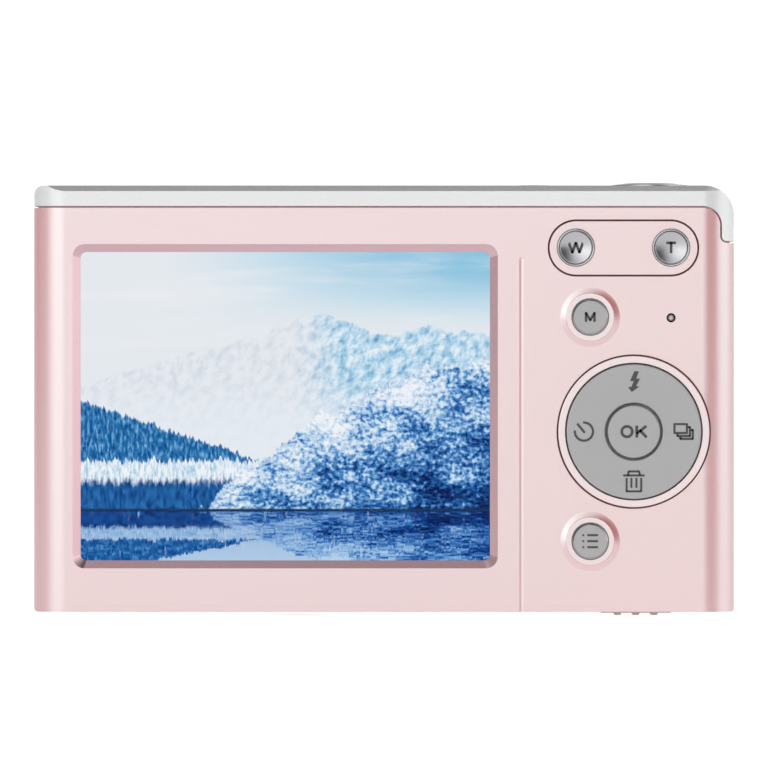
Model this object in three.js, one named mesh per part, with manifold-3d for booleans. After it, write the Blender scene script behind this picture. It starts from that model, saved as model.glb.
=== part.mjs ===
// Compact digital camera, in millimetres: +Z up, +X to the right of someone looking at the
// screen, lens looking along +Y. The origin is the middle of the underside's outer box.
import * as THREE from 'three';
import { mergeVertices } from 'three/addons/utils/BufferGeometryUtils.js';
import Module from 'manifold-3d';

const wasm = await Module();
wasm.setup();

// ---- Driving dimensions ----
const BODY_WIDTH = 98;
const BODY_HEIGHT = 59.6;
const BODY_DEPTH = 18;
const LATCH_DROP = 0.55; // latch ridges below the body
const KEY_PROUD = 0.9; // tallest key above the back
const LENS_PROUD = 2.7; // lens bezel above the front
const WALL = 1.4;
const EDGE_RADIUS = 4.5; // upright edges, seen from above
const TOP_LEFT_RADIUS = 1.4;
const TOP_RIGHT_RADIUS = 4.2;
const FOOT_RADIUS = 0.6;
const TOP_CHAMFER = 0.8;
const SEAM_GAP = 0.13; // half of the seam between cases and cover
const FIT = 0.2; // clearance round a loose piece

const HALF = BODY_WIDTH / 2;
const BASE = LATCH_DROP;
const TOP = BASE + BODY_HEIGHT;
const REAR = KEY_PROUD - (BODY_DEPTH + KEY_PROUD + LENS_PROUD) / 2;
const FRONT = REAR + BODY_DEPTH;
const MIDDLE = (REAR + FRONT) / 2;
const INNER_REAR = REAR + WALL;
const INNER_FRONT = FRONT - WALL;
const INNER_FLOOR = BASE + WALL;
const INNER_TOP = TOP - WALL;
const PARTING = 0; // joint between rear and front case

// Top cover: seam height, and the wrap down the right-hand side
const SEAM = BASE + 56.6;
const WRAP_X = 47.1;
const WRAP_FOOT = BASE + 51.7;
const WRAP_RADIUS = 2.6;
const WRAP_FOOT_RADIUS = 0.8;

// Screen opening and its sloping rim
const SCREEN = { x0: -42.4, x1: 14.8, z0: BASE + 7.2, z1: BASE + 50.3, radius: 0.85 };
const RIM_WIDTH = 1.1;
const RIM_DEPTH = 0.9;

// Back controls, centres as [x, z]
const W_KEY = [26.8, BASE + 50.9];
const T_KEY = [40.1, BASE + 50.9];
const M_KEY = [28.8, BASE + 41.2];
const MENU_KEY = [28.8, BASE + 9.9];
const PAD = [34.9, BASE + 25.2];
const INDICATOR = [40.1, BASE + 41.1];
const PILL = { width: 20.9, height: 7.7, x: 33.4, z: BASE + 50.85 };
const GROOVE_X = 19.2;
const GROOVE_TOP = BASE + 49.6;
const GROOVE_WIDTH = 0.6;
const ZOOM_KEY_RADIUS = 2.25;
const ZOOM_RING = { inner: 2.35, outer: 2.575 };
const ROUND_KEY_RADIUS = 2.5;
const OK_RADIUS = 3.75;
const PAD_RADIUS = 9.4;
const PAD_HOLE_RADIUS = 4;
const KEY_COLLAR = { inner: 2.65, outer: 3.3, height: 0.35, moat: 4.15, moatDepth: 0.3 };
const PAD_COLLAR = { inner: 9.6, outer: 10.75, height: 0.25 };

// Layers behind the back, as Y planes
const KEY_FLANGE = INNER_REAR + 0.3;
const KEY_POST_END = REAR + 2.75;
const DOME_TOP = REAR + 3.15;
const MAT_BACK = REAR + 3.4;
const MAT_FRONT = REAR + 4;
const KEY_BOARD_FRONT = REAR + 4.85;
const BOARD_BACK = REAR + 5.1;
const BOARD_FRONT = REAR + 6.1;

// Lens axis and front features, as [x, z]
const LENS = [-12, BASE + 30];
const FLASH = { x0: 3, x1: 15, z0: BASE + 47, z1: BASE + 53.2, radius: 1.2 };
const LAMP = [-33, BASE + 50];
const MICROPHONE = [21, BASE + 50];

// Top features: X of each centre, on the middle of the depth
const SHUTTER_X = 37.2;
const POWER_X = 21;
const SPEAKER_X = -28;

// Underside: door, hinge, latch, battery and card
const DOOR = { x0: 5.2, x1: 43.5, y0: -4, y1: 6.2, thickness: 1.4 };
const HINGE = { x: DOOR.x0 + 0.7, z: BASE + 0.7, pin: 0.4, bore: 0.5 };
const LATCH = { x0: 30.3, x1: 40.3, y0: -1.9, y1: 4.1, proud: 0.25, travel: 2 };
const BAY = { x0: 5.6, x1: 42.6, y0: -0.4, y1: 6.5, z0: BASE + 3.3, z1: BASE + 46, wall: 0.5 };
const BATTERY = { x0: 6.6, x1: 41.6, y0: 0.3, y1: 5.8, z0: BASE + 3.4, z1: BASE + 43.4 };
const CARD = { x0: 12.5, x1: 36.5, y0: -3.15, y1: -1.05, z0: BASE + 2.9, z1: BASE + 34.9 };
const TRIPOD = { x: LENS[0], y: 3.4, radius: 3.1, thread: 2.55, depth: 6 };
const SCREW = { head: 1.6, headHeight: 0.8, shank: 0.75, length: 5.5, sink: 0.4 };

// ---- Solids from three.js geometry ----

/** Turns a closed geometry into a solid that can be cut and joined. */
function toSolid(geometry) {
  const bare = geometry.clone();
  bare.deleteAttribute('normal');
  bare.deleteAttribute('uv');
  const merged = mergeVertices(bare, 1e-5);
  const index = merged.index.array;
  const points = merged.attributes.position.array;
  const corners = [];
  for (let i = 0; i < index.length; i += 3) {
    const [a, b, c] = [index[i], index[i + 1], index[i + 2]];
    if (a !== b && b !== c && c !== a) {
      corners.push(a, b, c);
    }
  }
  if (signedVolume(points, corners) < 0) {
    corners.reverse();
  }
  const mesh = new wasm.Mesh({
    numProp: 3,
    vertProperties: new Float32Array(points),
    triVerts: new Uint32Array(corners),
  });
  return new wasm.Manifold(mesh);
}

/** Six times the volume inside a triangle list, negative when its faces point inwards. */
function signedVolume(points, corners) {
  const a = new THREE.Vector3();
  const b = new THREE.Vector3();
  const c = new THREE.Vector3();
  let total = 0;
  for (let i = 0; i < corners.length; i += 3) {
    a.fromArray(points, corners[i] * 3);
    b.fromArray(points, corners[i + 1] * 3);
    c.fromArray(points, corners[i + 2] * 3);
    total += a.dot(b.cross(c));
  }
  return total;
}

/** Joins a list of solids into one. */
function join(...solids) {
  return solids.reduce((whole, solid) => whole.add(solid));
}

/** Takes each cutter out of a solid. */
function cut(solid, ...cutters) {
  return cutters.reduce((whole, cutter) => whole.subtract(cutter), solid);
}

/** Rectangle outline; radii run from the low corner round anticlockwise. */
function outline(x0, y0, x1, y1, radii = [0, 0, 0, 0], steps = 6) {
  const [r0, r1, r2, r3] = Array.isArray(radii) ? radii : [radii, radii, radii, radii];
  const corners = [
    [x0 + r0, y0 + r0, r0, Math.PI],
    [x1 - r1, y0 + r1, r1, 1.5 * Math.PI],
    [x1 - r2, y1 - r2, r2, 0],
    [x0 + r3, y1 - r3, r3, 0.5 * Math.PI],
  ];
  const points = [];
  for (const [cx, cy, radius, start] of corners) {
    const last = radius > 0 ? steps : 0;
    for (let i = 0; i <= last; i += 1) {
      const angle = start + (i / Math.max(last, 1)) * 0.5 * Math.PI;
      points.push(new THREE.Vector2(cx + radius * Math.cos(angle), cy + radius * Math.sin(angle)));
    }
  }
  return new THREE.Shape(points);
}

/** Straight extrusion of an outline, without bevels. */
function extruded(shape, depth) {
  return new THREE.ExtrudeGeometry(shape, { depth, bevelEnabled: false, curveSegments: 12 });
}

/** Outline in X and Y, standing from z0 to z1. */
function prismZ(shape, z0, z1) {
  return toSolid(extruded(shape, z1 - z0).translate(0, 0, z0));
}

/** Outline in X and Z, running from y0 to y1. */
function prismY(shape, y0, y1) {
  return toSolid(extruded(shape, y1 - y0).rotateX(Math.PI / 2).translate(0, y1, 0));
}

/** Outline in Y and Z, running from x0 to x1. */
function prismX(shape, x0, x1) {
  const turn = new THREE.Matrix4().set(0, 0, 1, 0, 1, 0, 0, 0, 0, 1, 0, 0, 0, 0, 0, 1);
  return toSolid(extruded(shape, x1 - x0).applyMatrix4(turn).translate(x0, 0, 0));
}

/** Box between two corners. */
function block(x0, x1, y0, y1, z0, z1) {
  const geometry = new THREE.BoxGeometry(x1 - x0, y1 - y0, z1 - z0);
  return toSolid(geometry.translate((x0 + x1) / 2, (y0 + y1) / 2, (z0 + z1) / 2));
}

/** Round piece on the Y axis through [x, z]; the profile lists radius and Y. */
function turnedY([x, z], profile, sides = 20) {
  const points = profile.map(([radius, y]) => new THREE.Vector2(radius, y));
  return toSolid(new THREE.LatheGeometry(points, sides).translate(x, 0, z));
}

/** Round piece on the Z axis through [x, y]; the profile lists radius and Z. */
function turnedZ([x, y], profile, sides = 20) {
  const points = profile.map(([radius, z]) => new THREE.Vector2(radius, z));
  return toSolid(new THREE.LatheGeometry(points, sides).rotateX(Math.PI / 2).translate(x, y, 0));
}

/** Round piece on the X axis through [y, z]; the profile lists radius and X. */
function turnedX([y, z], profile, sides = 16) {
  const points = profile.map(([radius, x]) => new THREE.Vector2(radius, x));
  return toSolid(new THREE.LatheGeometry(points, sides).rotateZ(-Math.PI / 2).translate(0, y, z));
}

/** Profile of a plain disc or bar between two planes. */
function disc(radius, low, high) {
  return [[0, low], [radius, low], [radius, high], [0, high]];
}

/** Profile of a plain ring between two planes. */
function ring(inner, outer, low, high) {
  return [[inner, low], [outer, low], [outer, high], [inner, high], [inner, low]];
}

// ---- Scene graph ----
const camera = new THREE.Group();

/** Adds one named sub-part to the camera. */
function addPart(name, solid, finish) {
  const { vertProperties, triVerts } = solid.getMesh();
  const geometry = new THREE.BufferGeometry();
  geometry.setAttribute('position', new THREE.BufferAttribute(vertProperties, 3));
  geometry.setIndex(new THREE.BufferAttribute(triVerts, 1));
  const mesh = new THREE.Mesh(geometry, new THREE.MeshStandardMaterial(finish));
  mesh.name = name;
  camera.add(mesh);
}

const PINK = { color: '#ebd3d2', roughness: 0.35, metalness: 0 };
const WHITE = { color: '#eaebea', roughness: 0.3, metalness: 0 };
const SILVER = { color: '#b3b2b2', roughness: 0.35, metalness: 0.7 };
const STEEL = { color: '#9c9ea0', roughness: 0.4, metalness: 0.9 };
const BLACK = { color: '#1b1b1d', roughness: 0.45, metalness: 0 };
const CLEAR = { color: '#dfe8ee', roughness: 0.05, metalness: 0 };
const BOARD = { color: '#1d5b3a', roughness: 0.5, metalness: 0 };
const RUBBER = { color: '#d9d6d3', roughness: 0.8, metalness: 0 };
const BRASS = { color: '#b8974f', roughness: 0.35, metalness: 0.9 };
const DARK_BLUE = { color: '#23466d', roughness: 0.4, metalness: 0 };

// ---- Casing ----

/** Outside shape of the body, or the hollow inside it when inset. */
function envelope(inset) {
  const edge = EDGE_RADIUS - inset;
  const plan = outline(-HALF + inset, REAR + inset, HALF - inset, FRONT - inset, edge);
  const corners = [FOOT_RADIUS, FOOT_RADIUS, TOP_RIGHT_RADIUS, TOP_LEFT_RADIUS];
  const radii = corners.map((radius) => Math.max(radius - inset, 0));
  const face = outline(-HALF + inset, BASE + inset, HALF - inset, TOP - inset, radii, 5);
  return prismZ(plan, BASE + inset, TOP - inset).intersect(prismY(face, REAR, FRONT));
}

/** Everything above the seam and outside the wrap, grown by an offset. */
function coverZone(offset) {
  const far = BODY_WIDTH;
  const inner = WRAP_RADIUS - offset;
  const shape = new THREE.Shape();
  shape.moveTo(-far, SEAM - offset);
  shape.lineTo(WRAP_X - WRAP_RADIUS, SEAM - offset);
  shape.absarc(WRAP_X - WRAP_RADIUS, SEAM - WRAP_RADIUS, inner, Math.PI / 2, 0, true);
  shape.lineTo(WRAP_X - offset, WRAP_FOOT + WRAP_FOOT_RADIUS);
  const foot = WRAP_FOOT_RADIUS + offset;
  const [cx, cz] = [WRAP_X + WRAP_FOOT_RADIUS, WRAP_FOOT + WRAP_FOOT_RADIUS];
  shape.absarc(cx, cz, foot, Math.PI, 1.5 * Math.PI, false);
  shape.lineTo(far, WRAP_FOOT - offset);
  shape.lineTo(far, TOP + far);
  shape.lineTo(-far, TOP + far);
  return prismY(shape, REAR - 1, FRONT + 1);
}

/** Clears the top rear and top front edges to a flat chamfer. */
function topChamfer() {
  const shape = new THREE.Shape([
    new THREE.Vector2(REAR, BASE),
    new THREE.Vector2(FRONT, BASE),
    new THREE.Vector2(FRONT, TOP - TOP_CHAMFER),
    new THREE.Vector2(FRONT - TOP_CHAMFER, TOP),
    new THREE.Vector2(REAR + TOP_CHAMFER, TOP),
    new THREE.Vector2(REAR, TOP - TOP_CHAMFER),
  ]);
  return prismX(shape, -HALF, HALF);
}

const shell = cut(envelope(0), envelope(WALL));
const screwBottoms = [[-41, 3.4], [-1, 3.4]];
const screwSides = [BASE + 13, BASE + 44];

/** Head pocket and shank hole of a screw that enters the body at a plane. */
function screwHole(turn, centre, plane, inwards) {
  const step = plane + inwards * (SCREW.sink + SCREW.headHeight + FIT);
  const far = plane + inwards * (SCREW.length + 3);
  const reach = SCREW.head + FIT;
  const pocket = [[0, plane - inwards], [reach, plane - inwards], [reach, step], [0, step]];
  return turn(centre, pocket, 16).add(turn(centre, disc(SCREW.shank + FIT, step - inwards * 0.01, far), 12));
}

const doorOpening = block(
  DOOR.x0 - 0.25, DOOR.x1 + 0.25, DOOR.y0 - 0.25, DOOR.y1 + 0.25, BASE - 1, INNER_FLOOR + 0.1,
);
const pinPocket = turnedY([HINGE.x, HINGE.z], disc(HINGE.bore, DOOR.y0 - 1.4, DOOR.y1 + 1.4), 12);
const eyeletOpening = block(HALF - 4, HALF + 1, -3, 3, BASE + 36.4, BASE + 46.6);
const casing = cut(
  shell,
  coverZone(SEAM_GAP),
  doorOpening,
  pinPocket,
  eyeletOpening,
);

function makeRearCase() {
  const half = block(-HALF, HALF, REAR - 1, PARTING - 0.1, 0, TOP).intersect(casing);
  const opening = outline(SCREEN.x0, SCREEN.z0, SCREEN.x1, SCREEN.z1, SCREEN.radius, 4);
  const rim = new THREE.ExtrudeGeometry(opening, {
    depth: 1,
    bevelThickness: RIM_DEPTH,
    bevelSize: RIM_WIDTH,
    bevelSegments: 1,
  });
  const rimCutter = toSolid(rim.rotateX(Math.PI / 2).translate(0, REAR, 0));
  const collars = [M_KEY, MENU_KEY].map((centre) => {
    const { inner, outer, height } = KEY_COLLAR;
    return turnedY(centre, ring(inner - 0.2, outer, REAR - height, REAR + 0.5));
  });
  const moats = [M_KEY, MENU_KEY].map((centre) => {
    const { outer, moat, moatDepth } = KEY_COLLAR;
    return turnedY(centre, ring(outer, moat, REAR - 1, REAR + moatDepth));
  });
  const padCollar = turnedY(
    PAD, ring(PAD_COLLAR.inner - 0.2, PAD_COLLAR.outer, REAR - PAD_COLLAR.height, REAR + 0.5), 32,
  );
  const holes = [
    ...[W_KEY, T_KEY].map((centre) => turnedY(centre, disc(ZOOM_RING.outer + 0.1, REAR - 1, INNER_REAR + 1))),
    ...[M_KEY, MENU_KEY].map((centre) => turnedY(centre, disc(KEY_COLLAR.inner, REAR - 1, INNER_REAR + 1))),
    turnedY(PAD, disc(PAD_COLLAR.inner, REAR - 1, INNER_REAR + 1), 32),
    turnedY(INDICATOR, disc(0.65, REAR - 1, INNER_REAR + 1), 12),
  ];
  const { x, z, width, height } = PILL;
  const pill = (inset) => outline(
    x - width / 2 + inset, z - height / 2 + inset, x + width / 2 - inset, z + height / 2 - inset,
    height / 2 - inset, 6,
  );
  const pillGroove = cut(prismY(pill(0), REAR - 1, REAR + 0.25), prismY(pill(0.35), REAR - 2, REAR + 1));
  const slot = outline(
    GROOVE_X - GROOVE_WIDTH / 2, BASE - 2, GROOVE_X + GROOVE_WIDTH / 2, GROOVE_TOP, GROOVE_WIDTH / 2, 4,
  );
  const groove = prismY(slot, REAR - 1, REAR + 0.35);
  const socket = outline(-3.85, BASE + 19.4, -0.4, BASE + 28.6, 1.5, 4);
  return cut(
    join(cut(half, ...moats), ...collars, padCollar),
    rimCutter,
    prismY(opening, REAR, INNER_REAR + 1),
    ...holes,
    pillGroove,
    groove,
    prismX(socket, -HALF - 1, -HALF + 3),
  );
}

function makeFrontCase() {
  const half = block(-HALF, HALF, PARTING + 0.1, FRONT + 1, 0, TOP).intersect(casing);
  const boss = disc(2, INNER_FLOOR - 0.5, BASE + 7);
  const bottomBosses = screwBottoms.map((centre) => turnedZ(centre, boss, 16));
  const sideBosses = screwSides.map((z) => turnedX([3.4, z], disc(2, -HALF + 0.8, -HALF + 7.5), 16));
  const flash = outline(FLASH.x0 - 0.1, FLASH.z0 - 0.1, FLASH.x1 + 0.1, FLASH.z1 + 0.1, FLASH.radius, 4);
  return cut(
    join(half, ...bottomBosses, ...sideBosses),
    ...screwBottoms.map((centre) => screwHole(turnedZ, centre, BASE, 1)),
    ...screwSides.map((z) => screwHole(turnedX, [3.4, z], -HALF, 1)),
    turnedY(LENS, disc(14.4, INNER_FRONT - 1, FRONT + 1), 32),
    prismY(flash, INNER_FRONT - 1, FRONT + 1),
    turnedY(LAMP, disc(1.9, INNER_FRONT - 1, FRONT + 1), 16),
    turnedY(MICROPHONE, disc(0.5, INNER_FRONT - 1, FRONT + 1), 10),
    turnedZ([TRIPOD.x, TRIPOD.y], disc(TRIPOD.radius + 0.1, BASE - 1, INNER_FLOOR + 1), 20),
  );
}

function makeTopCover() {
  const body = shell.intersect(coverZone(-SEAM_GAP)).intersect(topChamfer());
  const holes = [turnedZ([SPEAKER_X, MIDDLE], disc(0.5, INNER_TOP - 1, TOP + 1), 8)];
  for (let i = 0; i < 6; i += 1) {
    const angle = (i * Math.PI) / 3;
    const centre = [SPEAKER_X + 2.2 * Math.cos(angle), MIDDLE + 2.2 * Math.sin(angle)];
    holes.push(turnedZ(centre, disc(0.5, INNER_TOP - 1, TOP + 1), 8));
  }
  return cut(
    body,
    turnedZ([SHUTTER_X, MIDDLE], disc(5.2, INNER_TOP - 1, TOP + 1), 24),
    turnedZ([POWER_X, MIDDLE], disc(2.8, INNER_TOP - 1, TOP + 1)),
    ...holes,
  );
}

addPart('rear_case', makeRearCase(), PINK);
addPart('front_case', makeFrontCase(), PINK);
addPart('top_cover', makeTopCover(), WHITE);

// ---- Display ----
const WINDOW_GAP = 0.15;
const PANEL = { x0: SCREEN.x0 - 1.6, x1: SCREEN.x1 + 1.6, z0: SCREEN.z0 - 2, z1: SCREEN.z1 + 2 };

function makeWindow() {
  const { x0, x1, z0, z1, radius } = SCREEN;
  const gap = WINDOW_GAP;
  const shape = outline(x0 + gap, z0 + gap, x1 - gap, z1 - gap, radius - gap, 4);
  return prismY(shape, REAR + RIM_DEPTH, REAR + RIM_DEPTH + 0.8);
}

function makeDisplayFrame() {
  const rim = 0.9;
  const { x0, x1, z0, z1 } = PANEL;
  const tray = block(x0 - rim, x1 + rim, REAR + 1.9, REAR + 4.5, z0 - rim, z1 + rim);
  return cut(tray, block(x0 - FIT, x1 + FIT, REAR, REAR + 4.2, z0 - FIT, z1 + FIT));
}

addPart('screen_window', makeWindow(), CLEAR);
addPart('lcd_panel', block(PANEL.x0, PANEL.x1, REAR + 1.8, REAR + 3, PANEL.z0, PANEL.z1), DARK_BLUE);
addPart('lcd_backlight', block(PANEL.x0, PANEL.x1, REAR + 3.05, REAR + 4.15, PANEL.z0, PANEL.z1), WHITE);
addPart('lcd_frame', makeDisplayFrame(), STEEL);

// ---- Back controls ----

/** Profile of a pressed key: face, chamfered edge, skirt, retaining flange and post. */
function keyProfile(radius, proud, chamfer, post, dish = 0) {
  return [
    [0, REAR - proud + dish],
    [radius - chamfer, REAR - proud],
    [radius, REAR - proud + chamfer * 0.7],
    [radius, KEY_FLANGE],
    [radius + 0.45, KEY_FLANGE],
    [radius + 0.45, KEY_FLANGE + 0.5],
    [post, KEY_FLANGE + 0.5],
    [post, KEY_POST_END],
    [0, KEY_POST_END],
  ];
}

const zoomKeys = { w_button: W_KEY, t_button: T_KEY };
for (const [name, centre] of Object.entries(zoomKeys)) {
  const { inner, outer } = ZOOM_RING;
  addPart(name, turnedY(centre, keyProfile(ZOOM_KEY_RADIUS, 0.35, 0.15, 1.2, 0.15)), SILVER);
  addPart(`${name}_ring`, turnedY(centre, ring(inner, outer, REAR - 0.3, INNER_REAR)), STEEL);
}

const roundKeys = { m_button: M_KEY, menu_button: MENU_KEY };
for (const [name, centre] of Object.entries(roundKeys)) {
  addPart(name, turnedY(centre, keyProfile(ROUND_KEY_RADIUS, 0.7, 0.35, 1.2)), SILVER);
}

const OK_FLANGE = REAR + 1.3;
const PAD_BACK = REAR + 2.15;
const PAD_FLANGE = REAR + 1.75;
const GIMBAL = { inner: 5.6, outer: 7, y0: REAR + 2.55, y1: REAR + 2.9, nub: 0.5, reach: 6.3 };

function makeOkButton() {
  return turnedY(PAD, [
    [0, REAR - KEY_PROUD],
    [OK_RADIUS - 0.2, REAR - KEY_PROUD],
    [OK_RADIUS, REAR - KEY_PROUD + 0.2],
    [OK_RADIUS, OK_FLANGE],
    [OK_RADIUS + 0.9, OK_FLANGE],
    [OK_RADIUS + 0.9, OK_FLANGE + 0.4],
    [1.6, OK_FLANGE + 0.4],
    [1.6, KEY_POST_END],
    [0, KEY_POST_END],
  ]);
}

function makeDirectionPad() {
  const face = REAR - 0.5;
  return turnedY(PAD, [
    [PAD_HOLE_RADIUS, face + 0.1],
    [PAD_HOLE_RADIUS + 0.15, face],
    [PAD_RADIUS - 0.25, face],
    [PAD_RADIUS, face + 0.25],
    [PAD_RADIUS, PAD_FLANGE],
    [PAD_RADIUS + 0.5, PAD_FLANGE],
    [PAD_RADIUS + 0.5, PAD_BACK],
    [5.3, PAD_BACK],
    [5.3, REAR + 0.9],
    [PAD_HOLE_RADIUS, REAR + 0.9],
    [PAD_HOLE_RADIUS, face + 0.1],
  ], 32);
}

function makeGimbal() {
  const [x, z] = PAD;
  const { inner, outer, y0, y1, nub, reach } = GIMBAL;
  const nubs = [-1, 1].flatMap((side) => [
    turnedY([x + side * reach, z], disc(nub, y0 + 0.1, MAT_BACK - 0.1), 8),
    turnedY([x, z + side * reach], disc(nub, PAD_BACK + 0.1, y1 - 0.1), 8),
  ]);
  return join(turnedY(PAD, ring(inner, outer, y0, y1), 24), ...nubs);
}

addPart('ok_button', makeOkButton(), SILVER);
addPart('direction_pad', makeDirectionPad(), SILVER);
addPart('pad_gimbal', makeGimbal(), BLACK);

const KEY_AREA = { x0: 20.5, x1: 46.4, z0: BASE + 4, z1: BASE + 55 };

function makeKeyMat() {
  const { x0, x1, z0, z1 } = KEY_AREA;
  const [px, pz] = PAD;
  const arrows = [[8.2, 0], [-8.2, 0], [0, 8.2], [0, -8.2]].map(([dx, dz]) => [px + dx, pz + dz]);
  const domes = [W_KEY, T_KEY, M_KEY, MENU_KEY, PAD, ...arrows];
  const solids = domes.map((centre) => {
    return turnedY(centre, [[0, DOME_TOP], [0.8, DOME_TOP], [1.1, MAT_BACK + 0.1], [0, MAT_BACK + 0.1]], 12);
  });
  const sheet = block(x0, x1, MAT_BACK, MAT_FRONT, z0, z1);
  return cut(join(sheet, ...solids), turnedY(INDICATOR, disc(1.5, REAR, MAT_FRONT + 1), 12));
}

addPart('key_mat', makeKeyMat(), RUBBER);
addPart(
  'key_board',
  block(KEY_AREA.x0, KEY_AREA.x1, MAT_FRONT + 0.05, KEY_BOARD_FRONT, KEY_AREA.z0, KEY_AREA.z1),
  BOARD,
);
addPart('indicator_light', turnedY(INDICATOR, disc(0.45, REAR + 0.05, REAR + 2.4), 12), CLEAR);
addPart(
  'indicator_led',
  block(
    INDICATOR[0] - 0.8, INDICATOR[0] + 0.8, REAR + 2.7, MAT_FRONT,
    INDICATOR[1] - 0.4, INDICATOR[1] + 0.4,
  ),
  WHITE,
);

// ---- Boards ----
addPart('main_board', block(-46.2, 45.5, BOARD_BACK, BOARD_FRONT, BASE + 4.5, BASE + 51.5), BOARD);
addPart(
  'image_processor',
  block(-38, -26, BOARD_FRONT + 0.05, BOARD_FRONT + 1.25, BASE + 30, BASE + 42),
  BLACK,
);

function makeChassisPlate() {
  const plate = block(-46, 4.8, 0.35, 1.15, BASE + 10, BASE + 53);
  const lensHole = turnedY(LENS, disc(8.2, 0, 2), 32);
  const corner = block(-50, -41, 0, 7, BASE + 10, BASE + 16);
  const upperCorner = block(-50, -40.8, 0, 7, BASE + 41, BASE + 47);
  return cut(plate, lensHole, corner, upperCorner);
}

addPart('chassis_plate', makeChassisPlate(), STEEL);

// ---- Lens ----
const BEZEL_TIP = FRONT + LENS_PROUD;

function makeLensBezel() {
  return turnedY(LENS, [
    [13.2, FRONT - 2],
    [14.2, FRONT - 2],
    [14.2, FRONT + 0.02],
    [17, FRONT + 0.02],
    [16.8, BEZEL_TIP - 0.8],
    [16, BEZEL_TIP],
    [14.6, BEZEL_TIP],
    [13.2, BEZEL_TIP - 1.1],
    [13.2, FRONT - 2],
  ], 32);
}

function makeLensRing() {
  return turnedY(LENS, [
    [7.4, FRONT - 1.6],
    [13, FRONT - 1.6],
    [13, BEZEL_TIP - 1.2],
    [12.2, BEZEL_TIP - 1.2],
    [11.6, BEZEL_TIP - 1.9],
    [10, BEZEL_TIP - 1.9],
    [9.4, BEZEL_TIP - 2.5],
    [8, BEZEL_TIP - 2.5],
    [7.4, BEZEL_TIP - 2.9],
    [7.4, FRONT - 1.6],
  ], 32);
}

const FOCUS = { outer: 6.6, y0: 1.4, y1: 5 };

function makeFocusBarrel() {
  return turnedY(LENS, [
    [3.9, FOCUS.y0],
    [FOCUS.outer, FOCUS.y0],
    [FOCUS.outer, FOCUS.y1],
    [5.4, FOCUS.y1],
    [5.4, 3.4],
    [3.9, 3.4],
    [3.9, FOCUS.y0],
  ], 32);
}

addPart('lens_bezel', makeLensBezel(), SILVER);
addPart('lens_ring', makeLensRing(), BLACK);
addPart('lens_cover_glass', turnedY(LENS, disc(7.2, FRONT - 1.4, FRONT - 0.6), 32), CLEAR);
addPart('lens_barrel', turnedY(LENS, ring(6.9, 8, 0.6, FRONT - 1.8), 32), BLACK);
addPart('focus_barrel', makeFocusBarrel(), BLACK);
addPart(
  'front_lens',
  turnedY(LENS, [[0, 3.7], [5.2, 3.7], [5.2, 4.1], [3.8, 4.6], [2, 4.9], [0, 5]], 32),
  CLEAR,
);
addPart('rear_lens', turnedY(LENS, [[0, 1.5], [2, 1.6], [3.7, 2], [3.7, 2.8], [0, 2.8]], 24), CLEAR);
addPart(
  'image_sensor',
  block(LENS[0] - 4, LENS[0] + 4, -0.4, 0.3, LENS[1] - 3, LENS[1] + 3),
  BLACK,
);
addPart(
  'sensor_board',
  block(LENS[0] - 8, LENS[0] + 8, -1.3, -0.45, LENS[1] - 7, LENS[1] + 7),
  BOARD,
);

// ---- Flash, lamp and microphone ----
addPart(
  'flash_window',
  prismY(outline(FLASH.x0, FLASH.z0, FLASH.x1, FLASH.z1, FLASH.radius, 4), FRONT - 1.3, FRONT + 0.05),
  CLEAR,
);

function makeFlashReflector() {
  const { x0, x1, z0, z1 } = FLASH;
  const cup = block(x0, x1, INNER_FRONT - 3, INNER_FRONT - 0.1, z0, z1);
  const trough = outline(INNER_FRONT - 2.4, z0 + 0.6, INNER_FRONT + 1, z1 - 0.6, [2.2, 0, 0, 2.2], 5);
  return cut(cup, prismX(trough, x0 + 0.6, x1 - 0.6));
}

addPart('flash_reflector', makeFlashReflector(), SILVER);
addPart(
  'focus_lamp',
  turnedY(LAMP, [[0, INNER_FRONT - 1], [2.4, INNER_FRONT - 1], [2.4, INNER_FRONT - 0.1],
    [1.8, INNER_FRONT - 0.1], [1.8, FRONT + 0.05], [0, FRONT + 0.15]], 16),
  CLEAR,
);
addPart('microphone', turnedY(MICROPHONE, disc(2.2, INNER_FRONT - 1.6, INNER_FRONT - 0.1), 16), BLACK);

// ---- Top controls and speaker ----
const SHUTTER_TOP = TOP + 0.46;
const SPRING = { low: BASE + 53.9, high: BASE + 57.35, radius: 1.9, wire: 0.2, turns: 4 };

function makeShutterButton() {
  return turnedZ([SHUTTER_X, MIDDLE], [
    [0, SHUTTER_TOP],
    [2, SHUTTER_TOP - 0.04],
    [3.6, SHUTTER_TOP - 0.14],
    [4.4, SHUTTER_TOP - 0.4],
    [4.4, TOP - 1.5],
    [4.9, TOP - 1.5],
    [4.9, TOP - 2.1],
    [1, TOP - 2.1],
    [1, BASE + 54.65],
    [0, BASE + 54.65],
  ]);
}

function makeShutterCollar() {
  return turnedZ([SHUTTER_X, MIDDLE], [
    [4.6, TOP - 1.2],
    [5.1, TOP - 1.2],
    [5.1, TOP],
    [5.45, TOP],
    [5.35, TOP + 0.22],
    [4.75, TOP + 0.22],
    [4.6, TOP + 0.1],
    [4.6, TOP - 1.2],
  ], 24);
}

/** Coil spring round an upright axis. */
class Coil extends THREE.Curve {
  getPoint(t, target = new THREE.Vector3()) {
    const angle = t * SPRING.turns * 2 * Math.PI;
    const low = SPRING.low + SPRING.wire;
    const rise = SPRING.high - SPRING.low - 2 * SPRING.wire;
    const x = SHUTTER_X + SPRING.radius * Math.cos(angle);
    const y = MIDDLE + SPRING.radius * Math.sin(angle);
    return target.set(x, y, low + rise * t);
  }
}

function makeSpring() {
  const wire = new THREE.Shape();
  wire.absarc(0, 0, SPRING.wire, 0, 2 * Math.PI, false);
  const steps = SPRING.turns * 10;
  const sweep = { steps, curveSegments: 3, bevelEnabled: false, extrudePath: new Coil() };
  return toSolid(new THREE.ExtrudeGeometry(wire, sweep));
}

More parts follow.
